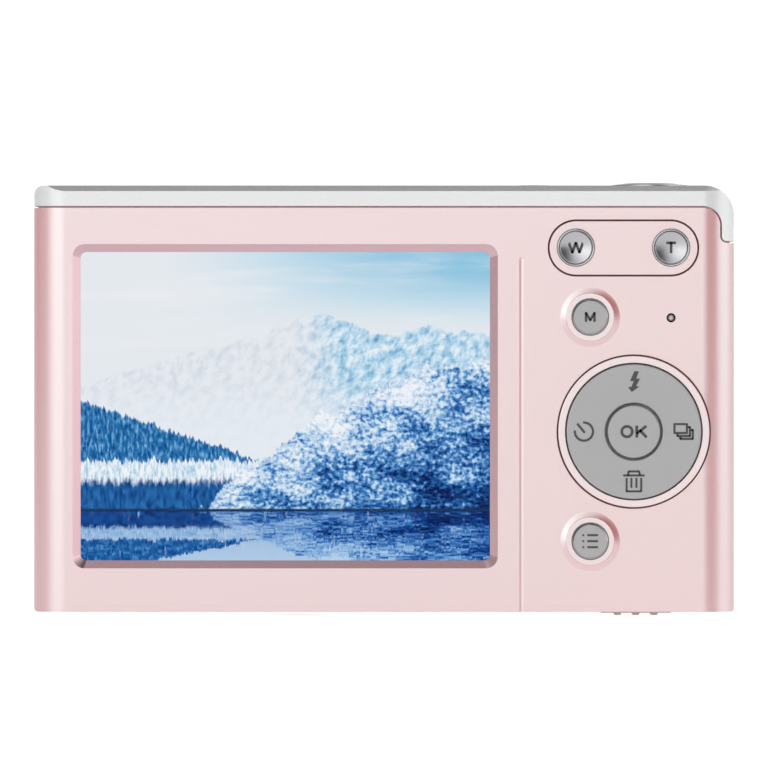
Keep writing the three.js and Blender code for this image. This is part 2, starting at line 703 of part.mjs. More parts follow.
addPart('shutter_button', makeShutterButton(), SILVER);
addPart('shutter_collar', makeShutterCollar(), SILVER);
addPart('shutter_spring', makeSpring(), STEEL);
addPart(
  'shutter_switch',
  block(SHUTTER_X - 3.2, SHUTTER_X + 3.2, MIDDLE - 3, MIDDLE + 3, BASE + 52, BASE + 53.7),
  BLACK,
);
addPart(
  'power_button',
  turnedZ([POWER_X, MIDDLE], [[0, TOP + 0.15], [2.3, TOP + 0.12], [2.6, TOP - 0.1], [2.6, TOP - 1.7],
    [3.2, TOP - 1.7], [3.2, TOP - 2.2], [1, TOP - 2.2], [1, BASE + 56.1], [0, BASE + 56.1]]),
  SILVER,
);
addPart(
  'power_switch',
  block(POWER_X - 2.2, POWER_X + 2.2, MIDDLE - 2, MIDDLE + 2, BASE + 54.1, BASE + 55.7),
  BLACK,
);
addPart(
  'speaker',
  turnedZ(
    [SPEAKER_X, MIDDLE],
    [[0, TOP - 4], [4.5, TOP - 4], [5, TOP - 3.4], [5, TOP - 1.6], [0, TOP - 1.6]],
  ),
  BLACK,
);

// ---- Battery, card and their door ----
function makeBatteryBay() {
  const { x0, x1, y0, y1, z0, z1, wall } = BAY;
  const hollow = block(x0 + wall, x1 - wall, y0 + wall, y1 - wall, z0 - 1, z1 - wall);
  return cut(block(x0, x1, y0, y1, z0, z1), hollow);
}

function makeBatteryContacts() {
  const low = BATTERY.z1 + 0.3;
  const strips = [12, 16, 20].map((x) => block(x - 0.8, x + 0.8, 2, 4, low, low + 0.8));
  return join(block(10, 22, 1.6, 4.4, low + 0.6, BAY.z1 - BAY.wall - 0.05), ...strips);
}

function makeBatteryCatch() {
  const lip = block(BATTERY.x1 - 0.7, BAY.x1 + 1.3, 1.6, 4.6, BASE + 2.45, BASE + 2.95);
  return lip.add(block(BAY.x1 + 0.3, BAY.x1 + 1.3, 1.6, 4.6, BASE + 2.45, BASE + 7));
}

function makeDoor() {
  const { x0, x1, y0, y1, thickness } = DOOR;
  const side = outline(x0, BASE, x1, BASE + thickness, [thickness / 2, 0.3, 0, thickness / 2], 5);
  const { travel, proud } = LATCH;
  return cut(
    prismY(side, y0, y1),
    turnedY([HINGE.x, HINGE.z], disc(HINGE.bore, y0 - 1, y1 + 1), 12),
    block(
      LATCH.x0 - travel - 0.2, LATCH.x1 + 0.2, LATCH.y0 - 0.2, LATCH.y1 + 0.2,
      BASE - 1, BASE + 2 * proud,
    ),
    block(LATCH.x0 + 3 - travel - 0.2, LATCH.x1 - 3 + 0.2, 0, 2.2, 0, INNER_FLOOR + 1),
  );
}

function makeLatch() {
  const { x0, x1, y0, y1, proud } = LATCH;
  const centre = (x0 + x1) / 2;
  const plate = prismZ(outline(x0, y0, x1, y1, 0.6, 3), BASE - proud, BASE + 0.35);
  const neck = block(x0 + 3, x1 - 3, 0.2, 2, BASE + 0.2, BASE + 1.8);
  const keeper = block(x0 + 1.2, DOOR.x1 - 0.9, -0.9, 3.1, BASE + 1.6, BASE + 2.15);
  const ridges = [-2.55, 0, 2.55].map((offset) => {
    const x = centre + offset;
    const section = outline(x - 0.5, 0, x + 0.5, BASE - proud + 0.1, [0.25, 0.25, 0, 0], 2);
    return prismY(section, y0 + 0.5, y1 - 0.5);
  });
  return join(plate, neck, keeper, ...ridges);
}

addPart('battery_bay', makeBatteryBay(), BLACK);
addPart(
  'battery',
  block(BATTERY.x0, BATTERY.x1, BATTERY.y0, BATTERY.y1, BATTERY.z0, BATTERY.z1),
  { color: '#3a3d42', roughness: 0.5, metalness: 0 },
);
addPart('battery_contacts', makeBatteryContacts(), BRASS);
addPart('battery_catch', makeBatteryCatch(), BLACK);
addPart('battery_door', makeDoor(), PINK);
addPart('door_latch', makeLatch(), WHITE);
const pinSection = disc(HINGE.pin, DOOR.y0 - 1.2, DOOR.y1 + 1.2);
addPart('door_hinge_pin', turnedY([HINGE.x, HINGE.z], pinSection, 12), STEEL);

function makeCardSlot() {
  const shape = block(
    CARD.x0 - 1.2, CARD.x1 + 1.2, CARD.y0 - 0.45, CARD.y1 + 0.45, CARD.z0 + 3, CARD.z1 + 2.4,
  );
  return cut(shape, block(CARD.x0 - 0.15, CARD.x1 + 0.15, CARD.y0 - 0.15, CARD.y1 + 0.15, 0, CARD.z1 + 1.2));
}

function makeMemoryCard() {
  const { x0, x1, y0, y1, z0, z1 } = CARD;
  const face = new THREE.Shape([
    new THREE.Vector2(x0, z0),
    new THREE.Vector2(x1, z0),
    new THREE.Vector2(x1, z1 - 3),
    new THREE.Vector2(x1 - 3, z1),
    new THREE.Vector2(x0, z1),
  ]);
  return prismY(face, y0, y1);
}

addPart('card_slot', makeCardSlot(), STEEL);
addPart('memory_card', makeMemoryCard(), BLACK);

// ---- Connections and fasteners ----
function makeSocket() {
  const mouth = -HALF + 0.4;
  const body = prismX(outline(-3.75, BASE + 19.5, -0.5, BASE + 28.5, 1.4, 4), mouth, mouth + 7);
  const hollow = prismX(outline(-3.4, BASE + 19.85, -0.85, BASE + 28.15, 1.15, 4), mouth - 1, mouth + 6);
  const tongue = block(mouth + 1, mouth + 6.5, -2.45, -1.8, BASE + 20.9, BASE + 27.1);
  return cut(body, hollow).add(tongue);
}

function makeEyelet() {
  const outer = HALF - 0.1;
  const body = block(outer - 4.2, outer, -2.9, 2.9, BASE + 36.5, BASE + 46.5);
  const pocket = block(outer - 3.4, outer + 1, -2.2, 2.2, BASE + 37.4, BASE + 45.6);
  const bar = turnedZ([outer - 1, 0], disc(0.7, BASE + 37, BASE + 46), 12);
  return cut(body, pocket).add(bar);
}

/** Cross-headed screw; its head starts a little below the plane that it enters. */
function makeScrew(turn, centre, plane, crossOne, crossTwo) {
  const head = plane + SCREW.sink;
  const profile = [
    [0, head],
    [SCREW.head - 0.2, head],
    [SCREW.head, head + 0.2],
    [SCREW.head, head + SCREW.headHeight],
    [SCREW.shank, head + SCREW.headHeight],
    [SCREW.shank, head + SCREW.length],
    [0, head + SCREW.length],
  ];
  return cut(turn(centre, profile, 16), crossOne, crossTwo);
}

const screwNames = ['bottom_screw_left', 'bottom_screw_right'];
screwNames.forEach((name, i) => {
  const [x, y] = screwBottoms[i];
  const high = BASE + SCREW.sink + 0.4;
  const crossOne = block(x - 1, x + 1, y - 0.2, y + 0.2, BASE, high);
  const crossTwo = block(x - 0.2, x + 0.2, y - 1, y + 1, BASE, high);
  addPart(name, makeScrew(turnedZ, [x, y], BASE, crossOne, crossTwo), STEEL);
});

const sideNames = ['side_screw_lower', 'side_screw_upper'];
sideNames.forEach((name, i) => {
  const [y, z] = [3.4, screwSides[i]];
  const deep = -HALF + SCREW.sink + 0.4;
  const crossOne = block(-HALF, deep, y - 1, y + 1, z - 0.2, z + 0.2);
  const crossTwo = block(-HALF, deep, y - 0.2, y + 0.2, z - 1, z + 1);
  addPart(name, makeScrew(turnedX, [y, z], -HALF, crossOne, crossTwo), STEEL);
});

addPart('usb_socket', makeSocket(), STEEL);
addPart('strap_eyelet', makeEyelet(), STEEL);
addPart(
  'tripod_nut',
  turnedZ([TRIPOD.x, TRIPOD.y], [[0, BASE + TRIPOD.depth - 0.6], [TRIPOD.thread, BASE + TRIPOD.depth - 0.6],
    [TRIPOD.thread, BASE + 0.3], [TRIPOD.thread + 0.2, BASE], [TRIPOD.radius, BASE],
    [TRIPOD.radius, BASE + TRIPOD.depth], [0, BASE + TRIPOD.depth]], 20),
  BRASS,
);

export default camera;
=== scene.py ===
"""Compact digital camera: finished shells, keys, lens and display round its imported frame.

Everything is in metres in the frame's own axes: +Z up, +X to the right of somebody who looks
at the screen, the lens looking along +Y. Places come from the frame's nodes, and the sizes
that no node holds are fields of the class that needs them.
"""

import logging
import math
from dataclasses import dataclass
from enum import Enum, IntEnum
from itertools import count, takewhile
from typing import Iterable, Sequence

import bmesh
import bpy
from mathutils import Matrix, Vector


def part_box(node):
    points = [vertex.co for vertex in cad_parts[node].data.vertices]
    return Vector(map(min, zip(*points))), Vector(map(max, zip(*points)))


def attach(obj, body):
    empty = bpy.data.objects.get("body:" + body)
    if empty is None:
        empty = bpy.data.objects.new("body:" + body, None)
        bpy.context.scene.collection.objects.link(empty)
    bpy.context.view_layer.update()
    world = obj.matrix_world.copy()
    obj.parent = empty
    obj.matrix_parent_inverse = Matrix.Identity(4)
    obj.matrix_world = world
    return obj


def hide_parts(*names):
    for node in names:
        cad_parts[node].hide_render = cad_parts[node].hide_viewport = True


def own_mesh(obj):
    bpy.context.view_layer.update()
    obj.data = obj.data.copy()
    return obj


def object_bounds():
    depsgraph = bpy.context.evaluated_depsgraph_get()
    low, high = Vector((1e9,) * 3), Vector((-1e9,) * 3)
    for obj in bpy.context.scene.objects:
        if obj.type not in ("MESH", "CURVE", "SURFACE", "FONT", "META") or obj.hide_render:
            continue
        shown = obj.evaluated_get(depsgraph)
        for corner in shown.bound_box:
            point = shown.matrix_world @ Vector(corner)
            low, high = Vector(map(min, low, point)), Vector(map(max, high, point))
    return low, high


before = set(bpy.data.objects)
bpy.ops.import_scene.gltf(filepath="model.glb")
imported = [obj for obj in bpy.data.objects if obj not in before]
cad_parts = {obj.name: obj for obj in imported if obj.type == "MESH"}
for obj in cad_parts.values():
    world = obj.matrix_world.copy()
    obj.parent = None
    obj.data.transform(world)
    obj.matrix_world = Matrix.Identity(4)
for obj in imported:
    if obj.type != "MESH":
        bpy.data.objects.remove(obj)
CAD_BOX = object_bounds()

LOG = logging.getLogger("camera")
MM = 0.001
FULL_TURN = 2 * math.pi

Point = tuple[float, float]
Colour = tuple[float, float, float]
Socket = bpy.types.NodeSocket


# ---- Finishes ----


class Sheet:
    """Short-hand for wiring the nodes of one material."""

    def __init__(self, name: str) -> None:
        """Starts a material with a Principled shader joined to its output."""
        self.material = bpy.data.materials.new(name)
        self.material.use_nodes = True
        self.tree = self.material.node_tree
        self.shader = self.tree.nodes["Principled BSDF"]

    def node(self, kind: str, **settings: object) -> bpy.types.Node:
        """Adds a node.

        Args:
            kind: the node type without its leading "ShaderNode".
            settings: properties to set on the node.

        Returns:
            The new node.
        """
        made = self.tree.nodes.new("ShaderNode" + kind)
        for name, value in settings.items():
            setattr(made, name, value)
        return made

    def feed(self, target: Socket, source: object) -> None:
        """Links a socket to another one, or sets it to a constant."""
        if isinstance(source, bpy.types.NodeSocket):
            self.tree.links.new(source, target)
        else:
            target.default_value = source

    def maths(self, operation: str, first: object, second: object = 0.0, third: object = 0.0) -> Socket:
        """Works out one number from up to three.

        Args:
            operation: Blender's name for the sum.
            first: a socket or a number.
            second: a socket or a number.
            third: a socket or a number.

        Returns:
            The socket that holds the result.
        """
        made = self.node("Math", operation=operation)
        for target, source in zip(made.inputs, (first, second, third)):
            self.feed(target, source)
        return made.outputs[0]

    def blend(self, share: object, first: object, second: object, how: str = "MIX") -> Socket:
        """Mixes two colours.

        Args:
            share: how much of the second colour shows, as a socket or a number.
            first: a colour or a socket.
            second: a colour or a socket.
            how: Blender's name for the way of mixing.

        Returns:
            The socket that holds the mixed colour.
        """
        made = self.node("Mix", data_type="RGBA", blend_type=how)
        for target, source in zip((made.inputs[0], made.inputs[6], made.inputs[7]), (share, first, second)):
            self.feed(target, (*source, 1.0) if isinstance(source, tuple) else source)
        return made.outputs[2]

    def place(self, centre: Sequence[float] = (0, 0, 0), scale: Sequence[float] = (1, 1, 1)) -> Socket:
        """Object coordinates, counted from a centre and then stretched.

        Args:
            centre: the point that becomes zero.
            scale: the stretch along each axis.

        Returns:
            The socket that holds the coordinates.
        """
        mapping = self.node("Mapping")
        self.feed(mapping.inputs["Vector"], self.node("TexCoord").outputs["Object"])
        mapping.inputs["Scale"].default_value = scale
        mapping.inputs["Location"].default_value = [-c * s for c, s in zip(centre, scale)]
        return mapping.outputs[0]

    def noise(self, where: Socket, scale: float, detail: float = 3.0, rough: float = 0.5) -> Socket:
        """Cloudy noise between 0 and 1.

        Args:
            where: the coordinates to read.
            scale: blotches to each unit of those coordinates.
            detail: how many finer layers there are.
            rough: how strong the finer layers are.

        Returns:
            The socket that holds the noise.
        """
        made = self.node("TexNoise")
        self.feed(made.inputs["Vector"], where)
        made.inputs["Scale"].default_value = scale
        made.inputs["Detail"].default_value = detail
        made.inputs["Roughness"].default_value = rough
        return made.outputs[0]

    def ramp(self, value: Socket, stops: Sequence[tuple[float, Colour]]) -> Socket:
        """Turns a number into a colour.

        Args:
            value: the socket to read.
            stops: pairs of a position and the colour there.

        Returns:
            The socket that holds the colour.
        """
        made = self.node("ValToRGB")
        elements = made.color_ramp.elements
        while len(elements) < len(stops):
            elements.new(0.5)
        for element, (position, colour) in zip(elements, stops):
            element.position = position
            element.color = (*colour, 1.0)
        self.feed(made.inputs[0], value)
        return made.outputs[0]

    def level(self, value: Socket, low: float, high: float, out: Point = (0.0, 1.0)) -> Socket:
        """Stretches a range of a number smoothly onto another range.

        Args:
            value: the socket to read.
            low: the value that gives the first output.
            high: the value that gives the second output.
            out: the two outputs.

        Returns:
            The socket that holds the result.
        """
        made = self.node("MapRange", interpolation_type="SMOOTHSTEP")
        for target, source in zip(made.inputs, (value, low, high, *out)):
            self.feed(target, source)
        return made.outputs[0]

    def relief(self, height: Socket, depth: float) -> None:
        """Raises the surface by a height pattern, in metres at full height."""
        bump = self.node("Bump")
        bump.inputs["Strength"].default_value = 1.0
        bump.inputs["Distance"].default_value = depth
        self.feed(bump.inputs["Height"], height)
        self.feed(self.shader.inputs["Normal"], bump.outputs[0])

    def set(self, **values: object) -> None:
        """Sets sockets of the shader; an underscore stands for a space in a socket's name."""
        for name, value in values.items():
            self.feed(self.shader.inputs[name.replace("_", " ")], value)


def srgb(red: int, green: int, blue: int) -> Colour:
    """Linear colour from the 0 to 255 numbers of a colour card.

    Args:
        red: the card's red.
        green: the card's green.
        blue: the card's blue.

    Returns:
        The colour as three linear values.
    """
    def linear(value: int) -> float:
        """One channel, from display values to light."""
        share = value / 255
        return share / 12.92 if share <= 0.04045 else ((share + 0.055) / 1.055) ** 2.4
    return linear(red), linear(green), linear(blue)


@dataclass(frozen=True)
class Moulded:
    """Moulded, painted or plated surface with a fine grain and a slight drift of tone."""

    name: str
    colour: Colour
    roughness: float = 0.4
    metallic: float = 0.0
    coat: float = 0.0
    drift: float = 0.03
    grain: float = 0.0
    grain_size: float = 0.25 * MM
    ior: float = 1.5
    tint: Colour = (1.0, 1.0, 1.0)

    def build(self) -> bpy.types.Material:
        """Makes the material."""
        sheet = Sheet(self.name)
        where = sheet.place()
        cloud = sheet.noise(where, 1 / (14 * MM), 2.0)
        speck = sheet.noise(where, 1 / self.grain_size, 2.0, 0.6)
        darker = tuple(c * (1 - self.drift) for c in self.colour)
        sheet.set(
            Base_Color=sheet.blend(cloud, darker, self.colour),
            Roughness=sheet.level(speck, 0.25, 0.75, (self.roughness * 0.9, self.roughness * 1.1)),
            Metallic=self.metallic,
            Coat_Weight=self.coat,
            Coat_Roughness=0.08,
            IOR=self.ior,
            Specular_Tint=(*self.tint, 1.0),
        )
        if self.grain:
            sheet.relief(speck, self.grain)
        return sheet.material


@dataclass(frozen=True)
class Turned:
    """Metal or glass turned on a lathe, with fine rings round an axis."""

    name: str
    colour: Colour
    centre: tuple[float, float, float]
    axis: str = "Y"
    roughness: float = 0.25
    metallic: float = 1.0
    ring: float = 0.12 * MM
    depth: float = 0.0012 * MM

    def build(self) -> bpy.types.Material:
        """Makes the material."""
        sheet = Sheet(self.name)
        flat = [0.0 if letter == self.axis else 1.0 for letter in "XYZ"]
        away = sheet.place(self.centre, flat)
        length = sheet.node("VectorMath", operation="LENGTH")
        sheet.feed(length.inputs[0], away)
        steps = sheet.node("TexNoise", noise_dimensions="1D")
        sheet.feed(steps.inputs["W"], length.outputs["Value"])
        steps.inputs["Scale"].default_value = 1 / self.ring
        rings = steps.outputs[0]
        blotch = sheet.noise(sheet.place(), 1 / (3 * MM), 2.0)
        darker = tuple(c * 0.9 for c in self.colour)
        sheet.set(
            Base_Color=sheet.blend(rings, darker, self.colour),
            Roughness=sheet.level(blotch, 0.3, 0.7, (self.roughness * 0.85, self.roughness * 1.15)),
            Metallic=self.metallic,
        )
        sheet.relief(rings, self.depth)
        return sheet.material


@dataclass(frozen=True)
class Brushed:
    """Metal with a fine straight grain along one axis."""

    name: str
    colour: Colour
    along: str = "X"
    roughness: float = 0.32
    grain: float = 0.06 * MM
    stretch: float = 40.0

    def build(self) -> bpy.types.Material:
        """Makes the material."""
        sheet = Sheet(self.name)
        scale = [1 / self.stretch if letter == self.along else 1.0 for letter in "XYZ"]
        lines = sheet.noise(sheet.place(scale=scale), 1 / self.grain, 3.0, 0.7)
        darker = tuple(c * 0.8 for c in self.colour)
        sheet.set(
            Base_Color=sheet.blend(lines, darker, self.colour),
            Roughness=sheet.level(lines, 0.2, 0.8, (self.roughness * 0.8, self.roughness * 1.25)),
            Metallic=1.0,
        )
        sheet.relief(lines, 0.002 * MM)
        return sheet.material


@dataclass(frozen=True)
class Clear:
    """Clear or frosted plastic and glass, with faint handling marks in its gloss."""

    name: str
    colour: Colour = (1.0, 1.0, 1.0)
    roughness: float = 0.02
    ior: float = 1.46
    frost: float = 0.0

    def build(self) -> bpy.types.Material:
        """Makes the material."""
        sheet = Sheet(self.name)
        marks = sheet.noise(sheet.place(), 1 / (2.5 * MM), 4.0, 0.7)
        sheet.set(
            Base_Color=sheet.blend(marks, tuple(c * 0.98 for c in self.colour), self.colour),
            Roughness=sheet.level(marks, 0.45, 0.8, (self.roughness, self.roughness + 0.03)),
            Transmission_Weight=1.0,
            IOR=self.ior,
        )
        if self.frost:
            sheet.relief(sheet.noise(sheet.place(), 1 / (0.3 * MM), 2.0), self.frost)
        return sheet.material


@dataclass(frozen=True)
class Circuit:
    """Printed circuit board: solder mask over tracks, with bare gold pads."""

    name: str = "circuit_board"
    mask: Colour = (0.012, 0.10, 0.045)
    track: Colour = (0.03, 0.19, 0.09)
    gold: Colour = (0.75, 0.52, 0.2)

    def build(self) -> bpy.types.Material:
        """Makes the material."""
        sheet = Sheet(self.name)
        cells = sheet.node("TexVoronoi", feature="F1", distance="MANHATTAN")
        sheet.feed(cells.inputs["Vector"], sheet.place())
        cells.inputs["Scale"].default_value = 1 / (1.6 * MM)
        tracks = sheet.level(sheet.maths("PINGPONG", cells.outputs["Distance"], 0.12), 0.05, 0.08)
        dots = sheet.node("TexVoronoi", feature="F1")
        sheet.feed(dots.inputs["Vector"], sheet.place())
        dots.inputs["Scale"].default_value = 1 / (3.1 * MM)
        pads = sheet.maths("LESS_THAN", dots.outputs["Distance"], 0.16)
        green = sheet.blend(tracks, self.mask, self.track)
        sheet.set(
            Base_Color=sheet.blend(pads, green, self.gold),
            Metallic=pads,
            Roughness=0.32,
        )
        sheet.relief(tracks, 0.01 * MM)
        return sheet.material


@dataclass(frozen=True)
class LakePicture:
    """A winter lake for the display, worked out from noise: sky, peaks, frosted woods, water."""

    low: tuple[float, float, float]
    high: tuple[float, float, float]
    name: str = "display_picture"
    shore: float = 0.16
    glow: float = 1.0

    def build(self) -> bpy.types.Material:
        """Makes the material."""
        sheet = Sheet(self.name)
        size = [max(h - l, MM) for l, h in zip(self.low, self.high)]
        split = sheet.node("SeparateXYZ")
        sheet.feed(split.inputs[0], sheet.place(self.low, [1 / s for s in size]))
        across, height = split.outputs["X"], split.outputs["Z"]
        water = sheet.maths("LESS_THAN", height, self.shore)
        depth = sheet.maths("SUBTRACT", self.shore, height)
        mirrored = sheet.maths("MULTIPLY_ADD", depth, 1.7, self.shore)
        ripple = self._grain(sheet, across, height, (90.0, 9.0), 3.0)
        shake = sheet.maths("MULTIPLY", sheet.maths("SUBTRACT", ripple, 0.5), 0.07)
        across = sheet.maths("MULTIPLY_ADD", shake, water, across)
        seen = sheet.node("Mix", data_type="FLOAT")
        for number, source in ((0, water), (2, height), (3, mirrored)):
            sheet.feed(seen.inputs[number], source)
        land = self._land(sheet, across, seen.outputs[0])
        picture = self._lake(sheet, land, water, depth, ripple)
        sheet.set(
            Base_Color=(0.0, 0.0, 0.0, 1.0),
            Roughness=0.3,
            Emission_Color=picture,
            Emission_Strength=self.glow,
            Specular_IOR_Level=0.0,
        )
        return sheet.material

    @staticmethod
    def _grain(sheet: Sheet, across: Socket, height: Socket, scale: Point, detail: float) -> Socket:
        """Noise over the picture, stretched differently each way."""
        join = sheet.node("CombineXYZ")
        sheet.feed(join.inputs[0], sheet.maths("MULTIPLY", across, scale[0]))
        sheet.feed(join.inputs[1], sheet.maths("MULTIPLY", height, scale[1]))
        return sheet.noise(join.outputs[0], 1.0, detail, 0.62)

    @staticmethod
    def _peak(sheet: Sheet, across: Socket, centre: float, top: float, slope: float) -> Socket:
        """Height of one tent-shaped hill over the width."""
        away = sheet.maths("ABSOLUTE", sheet.maths("SUBTRACT", across, centre))
        return sheet.maths("MULTIPLY_ADD", away, -slope, top)

    @staticmethod
    def _below(sheet: Sheet, edge: Socket, height: Socket, soft: float, view: Socket, colour: Socket) -> Socket:
        """Lays a colour over the view wherever the height is under an edge, softened a little."""
        inside = sheet.level(sheet.maths("SUBTRACT", edge, height), 0.0, soft)
        return sheet.blend(inside, view, colour)

    def _land(self, sheet: Sheet, across: Socket, height: Socket) -> Socket:
        """Colour of everything above the water line.

        Args:
            sheet: the material.
            across: 0 at the left edge and 1 at the right.
            height: 0 at the bottom edge and 1 at the top.

        Returns:
            The socket that holds the colour.
        """
        clouds = self._grain(sheet, across, height, (1.4, 9.0), 4.0)
        corner = sheet.maths("MULTIPLY", sheet.level(across, 0.15, 1.0), sheet.level(height, 0.72, 1.0))
        sky = sheet.ramp(corner, [
            (0.0, srgb(229, 234, 238)), (0.35, srgb(196, 222, 235)), (0.9, srgb(138, 196, 224)),
        ])
        haze = sheet.maths("MULTIPLY", sheet.level(clouds, 0.45, 0.75), 0.6)
        sky = sheet.blend(haze, sky, srgb(240, 240, 242))
        view = self._peaks(sheet, across, height, sky)
        view = self._far_bank(sheet, across, height, view)
        return self._near_woods(sheet, across, height, view)

    def _peaks(self, sheet: Sheet, across: Socket, height: Socket, sky: Socket) -> Socket:
        """Adds the snowy range to the sky; takes the same values as _land."""
        skyline = sheet.maths(
            "MAXIMUM",
            self._peak(sheet, across, 0.59, 0.80, 0.38),
            self._peak(sheet, across, 0.88, 0.765, 0.24),
        )
        wobble = sheet.maths("SUBTRACT", self._grain(sheet, across, across, (17.0, 3.0), 9.0), 0.5)
        skyline = sheet.maths("MULTIPLY_ADD", wobble, 0.11, skyline)
        fall = sheet.maths("MULTIPLY_ADD", across, -0.55, height)
        folds = self._grain(sheet, across, fall, (46.0, 30.0), 9.0)
        pale = sheet.ramp(folds, [(0.36, srgb(212, 219, 228)), (0.55, srgb(230, 234, 239))])
        crags = sheet.ramp(folds, [
            (0.32, srgb(96, 152, 196)), (0.45, srgb(164, 206, 230)), (0.62, srgb(230, 240, 247)),
        ])
        snow = sheet.blend(sheet.level(across, 0.5, 0.66), pale, crags)
        snow = sheet.blend(sheet.level(height, 0.62, 0.4, (0.0, 0.8)), snow, srgb(230, 236, 242))
        return self._below(sheet, skyline, height, 0.01, sky, snow)

    def _far_bank(self, sheet: Sheet, across: Socket, height: Socket, view: Socket) -> Socket:
        """Adds the blue firs and the frosted bank at the left; takes the same values as _land."""
        spikes = self._grain(sheet, across, across, (105.0, 1.0), 3.0)
        ridge = sheet.maths("MULTIPLY_ADD", across, -0.45, 0.485)
        ridge = sheet.maths("MULTIPLY_ADD", spikes, 0.07, ridge)
        needles = self._grain(sheet, across, height, (150.0, 34.0), 5.0)
        firs = sheet.ramp(needles, [
            (0.34, srgb(8, 62, 122)), (0.5, srgb(24, 108, 172)), (0.66, srgb(116, 178, 218)),
        ])
        view = self._below(sheet, ridge, height, 0.006, view, firs)
        crest = sheet.maths("MULTIPLY_ADD", spikes, 0.09, 0.28)
        bank = self._grain(sheet, across, height, (130.0, 26.0), 5.0)
        deep = sheet.ramp(bank, [(0.36, srgb(6, 50, 112)), (0.62, srgb(34, 112, 182))])
        frosted = sheet.ramp(bank, [(0.36, srgb(150, 196, 224)), (0.56, srgb(240, 244, 248))])
        light = sheet.level(sheet.maths("MULTIPLY_ADD", bank, 0.06, height), 0.27, 0.3)
        bank_view = sheet.blend(light, deep, frosted)
        return self._below(sheet, crest, height, 0.008, view, bank_view)

    def _near_woods(self, sheet: Sheet, across: Socket, height: Socket, view: Socket) -> Socket:
        """Adds the frosted trees that rise to the right; takes the same values as _land."""
        crowns = sheet.maths("SUBTRACT", self._grain(sheet, across, across, (21.0, 1.0), 6.0), 0.5)
        climb = sheet.maths("POWER", sheet.level(across, 0.25, 1.0), 0.5)
        woods = sheet.maths("MULTIPLY_ADD", climb, 0.53, 0.12)
        woods = sheet.maths("MULTIPLY_ADD", crowns, 0.2, woods)
        twigs = self._grain(sheet, across, height, (84.0, 70.0), 9.0)
        shade = self._grain(sheet, across, height, (9.0, 12.0), 4.0)
        mixed = sheet.maths("MULTIPLY_ADD", sheet.maths("SUBTRACT", shade, 0.5), 0.8, twigs)
        lift = sheet.maths("MULTIPLY_ADD", height, 0.62, sheet.maths("MULTIPLY", across, -0.4))
        mixed = sheet.maths("ADD", mixed, sheet.maths("ADD", lift, 0.1))
        frosted = sheet.ramp(mixed, [
            (0.28, srgb(5, 26, 78)), (0.4, srgb(20, 84, 158)), (0.5, srgb(88, 150, 206)),
            (0.58, srgb(176, 206, 232)), (0.74, srgb(240, 243, 248)),
        ])
        trunks = sheet.level(self._grain(sheet, across, height, (120.0, 3.0), 2.0), 0.7, 0.76, (0.0, 0.7))
        frosted = sheet.blend(trunks, frosted, srgb(24, 42, 84))
        return self._below(sheet, woods, height, 0.008, view, frosted)

    def _lake(self, sheet: Sheet, land: Socket, water: Socket, depth: Socket, ripple: Socket) -> Socket:
        """Adds the lake below the shore.

        Args:
            sheet: the material.
            land: the colour that the water mirrors.
            water: 1 on the lake and 0 above it.
            depth: distance below the shore line.
            ripple: the ripple pattern.

        Returns:
            The socket that holds the whole picture.
        """
        tint = sheet.ramp(depth, [(0.0, srgb(96, 158, 212)), (0.16, srgb(170, 208, 240))])
        lake = sheet.blend(0.75, land, tint, "MULTIPLY")
        lake = sheet.blend(sheet.level(ripple, 0.6, 0.85), lake, srgb(196, 222, 242))
        edge = sheet.maths("ABSOLUTE", depth)
        picture = sheet.blend(water, land, lake)
        return sheet.blend(sheet.level(edge, 0.008, 0.002), picture, srgb(24, 52, 92))


PINK = Moulded(
    "pink_lacquer", (0.655, 0.235, 0.243), roughness=0.22, drift=0.01, ior=4.5, tint=(0.68, 0.9, 0.89),
)
PINK_RING = Moulded(
    "pink_ring", (0.74, 0.335, 0.335), roughness=0.24, drift=0.01, ior=4.0, tint=(0.7, 1.0, 1.0),
)
PINK_CUT = Moulded("pink_cut_rim", srgb(197, 165, 171), roughness=0.2, metallic=0.85, drift=0.02)
# Painted shade: dark mauve on the floors of the fine grooves round the zoom keys and the pad ring, standing in
# for the shade inside them.
SHADOW_LINE = Moulded("shadow_line", srgb(126, 86, 90), roughness=0.6, drift=0.1, ior=1.3)
# Painted shade: a darker pink on the rounded bottom rear edge, standing in for the dark line that light leaves
# along it.
FOOT_EDGE_PAINTED_SHADE = Moulded("foot_edge_painted_shade", srgb(188, 124, 136), roughness=0.6, drift=0.05, ior=1.3)
# Painted shade: a darker pink on the tongue faces seen through the seam gap under the cover, standing in for
# the shadow inside the gap.
SEAM_GAP_PAINTED_SHADE = Moulded("seam_gap_painted_shade", srgb(212, 186, 188), roughness=0.6, drift=0.05, ior=1.3)
WHITE = Moulded("white_cover", (0.63, 0.635, 0.635), roughness=0.22, drift=0.01, grain=0.0002 * MM, ior=2.2)
BRIGHT_CUT = Brushed("bright_cut_edge", srgb(236, 236, 238), "X", roughness=0.3)
KEY_GREY = Moulded(
    "key_grey", srgb(163, 162, 162), roughness=0.42, metallic=0.25, drift=0.02, grain=0.0012 * MM,
)
LATCH_GREY = Moulded("latch_grey", srgb(178, 176, 175), roughness=0.4, drift=0.02)
PRINT = Moulded("print_dark", srgb(66, 64, 66), roughness=0.6, drift=0.06)
BLACK = Moulded("black_plastic", srgb(34, 34, 36), roughness=0.5, drift=0.1, grain=0.003 * MM)
GLOSS_BLACK = Moulded("gloss_black", srgb(18, 18, 20), roughness=0.12, coat=0.5, drift=0.1)
IVORY = Moulded("diffuser", srgb(236, 235, 230), roughness=0.5, drift=0.03)
SILICONE = Moulded("silicone", srgb(206, 203, 200), roughness=0.75, drift=0.05, grain=0.004 * MM)
WRAP = Moulded("battery_wrap", srgb(74, 78, 86), roughness=0.3, coat=0.3, drift=0.12, grain=0.001 * MM)
STEEL = Brushed("sheet_steel", srgb(176, 178, 180), "Z")
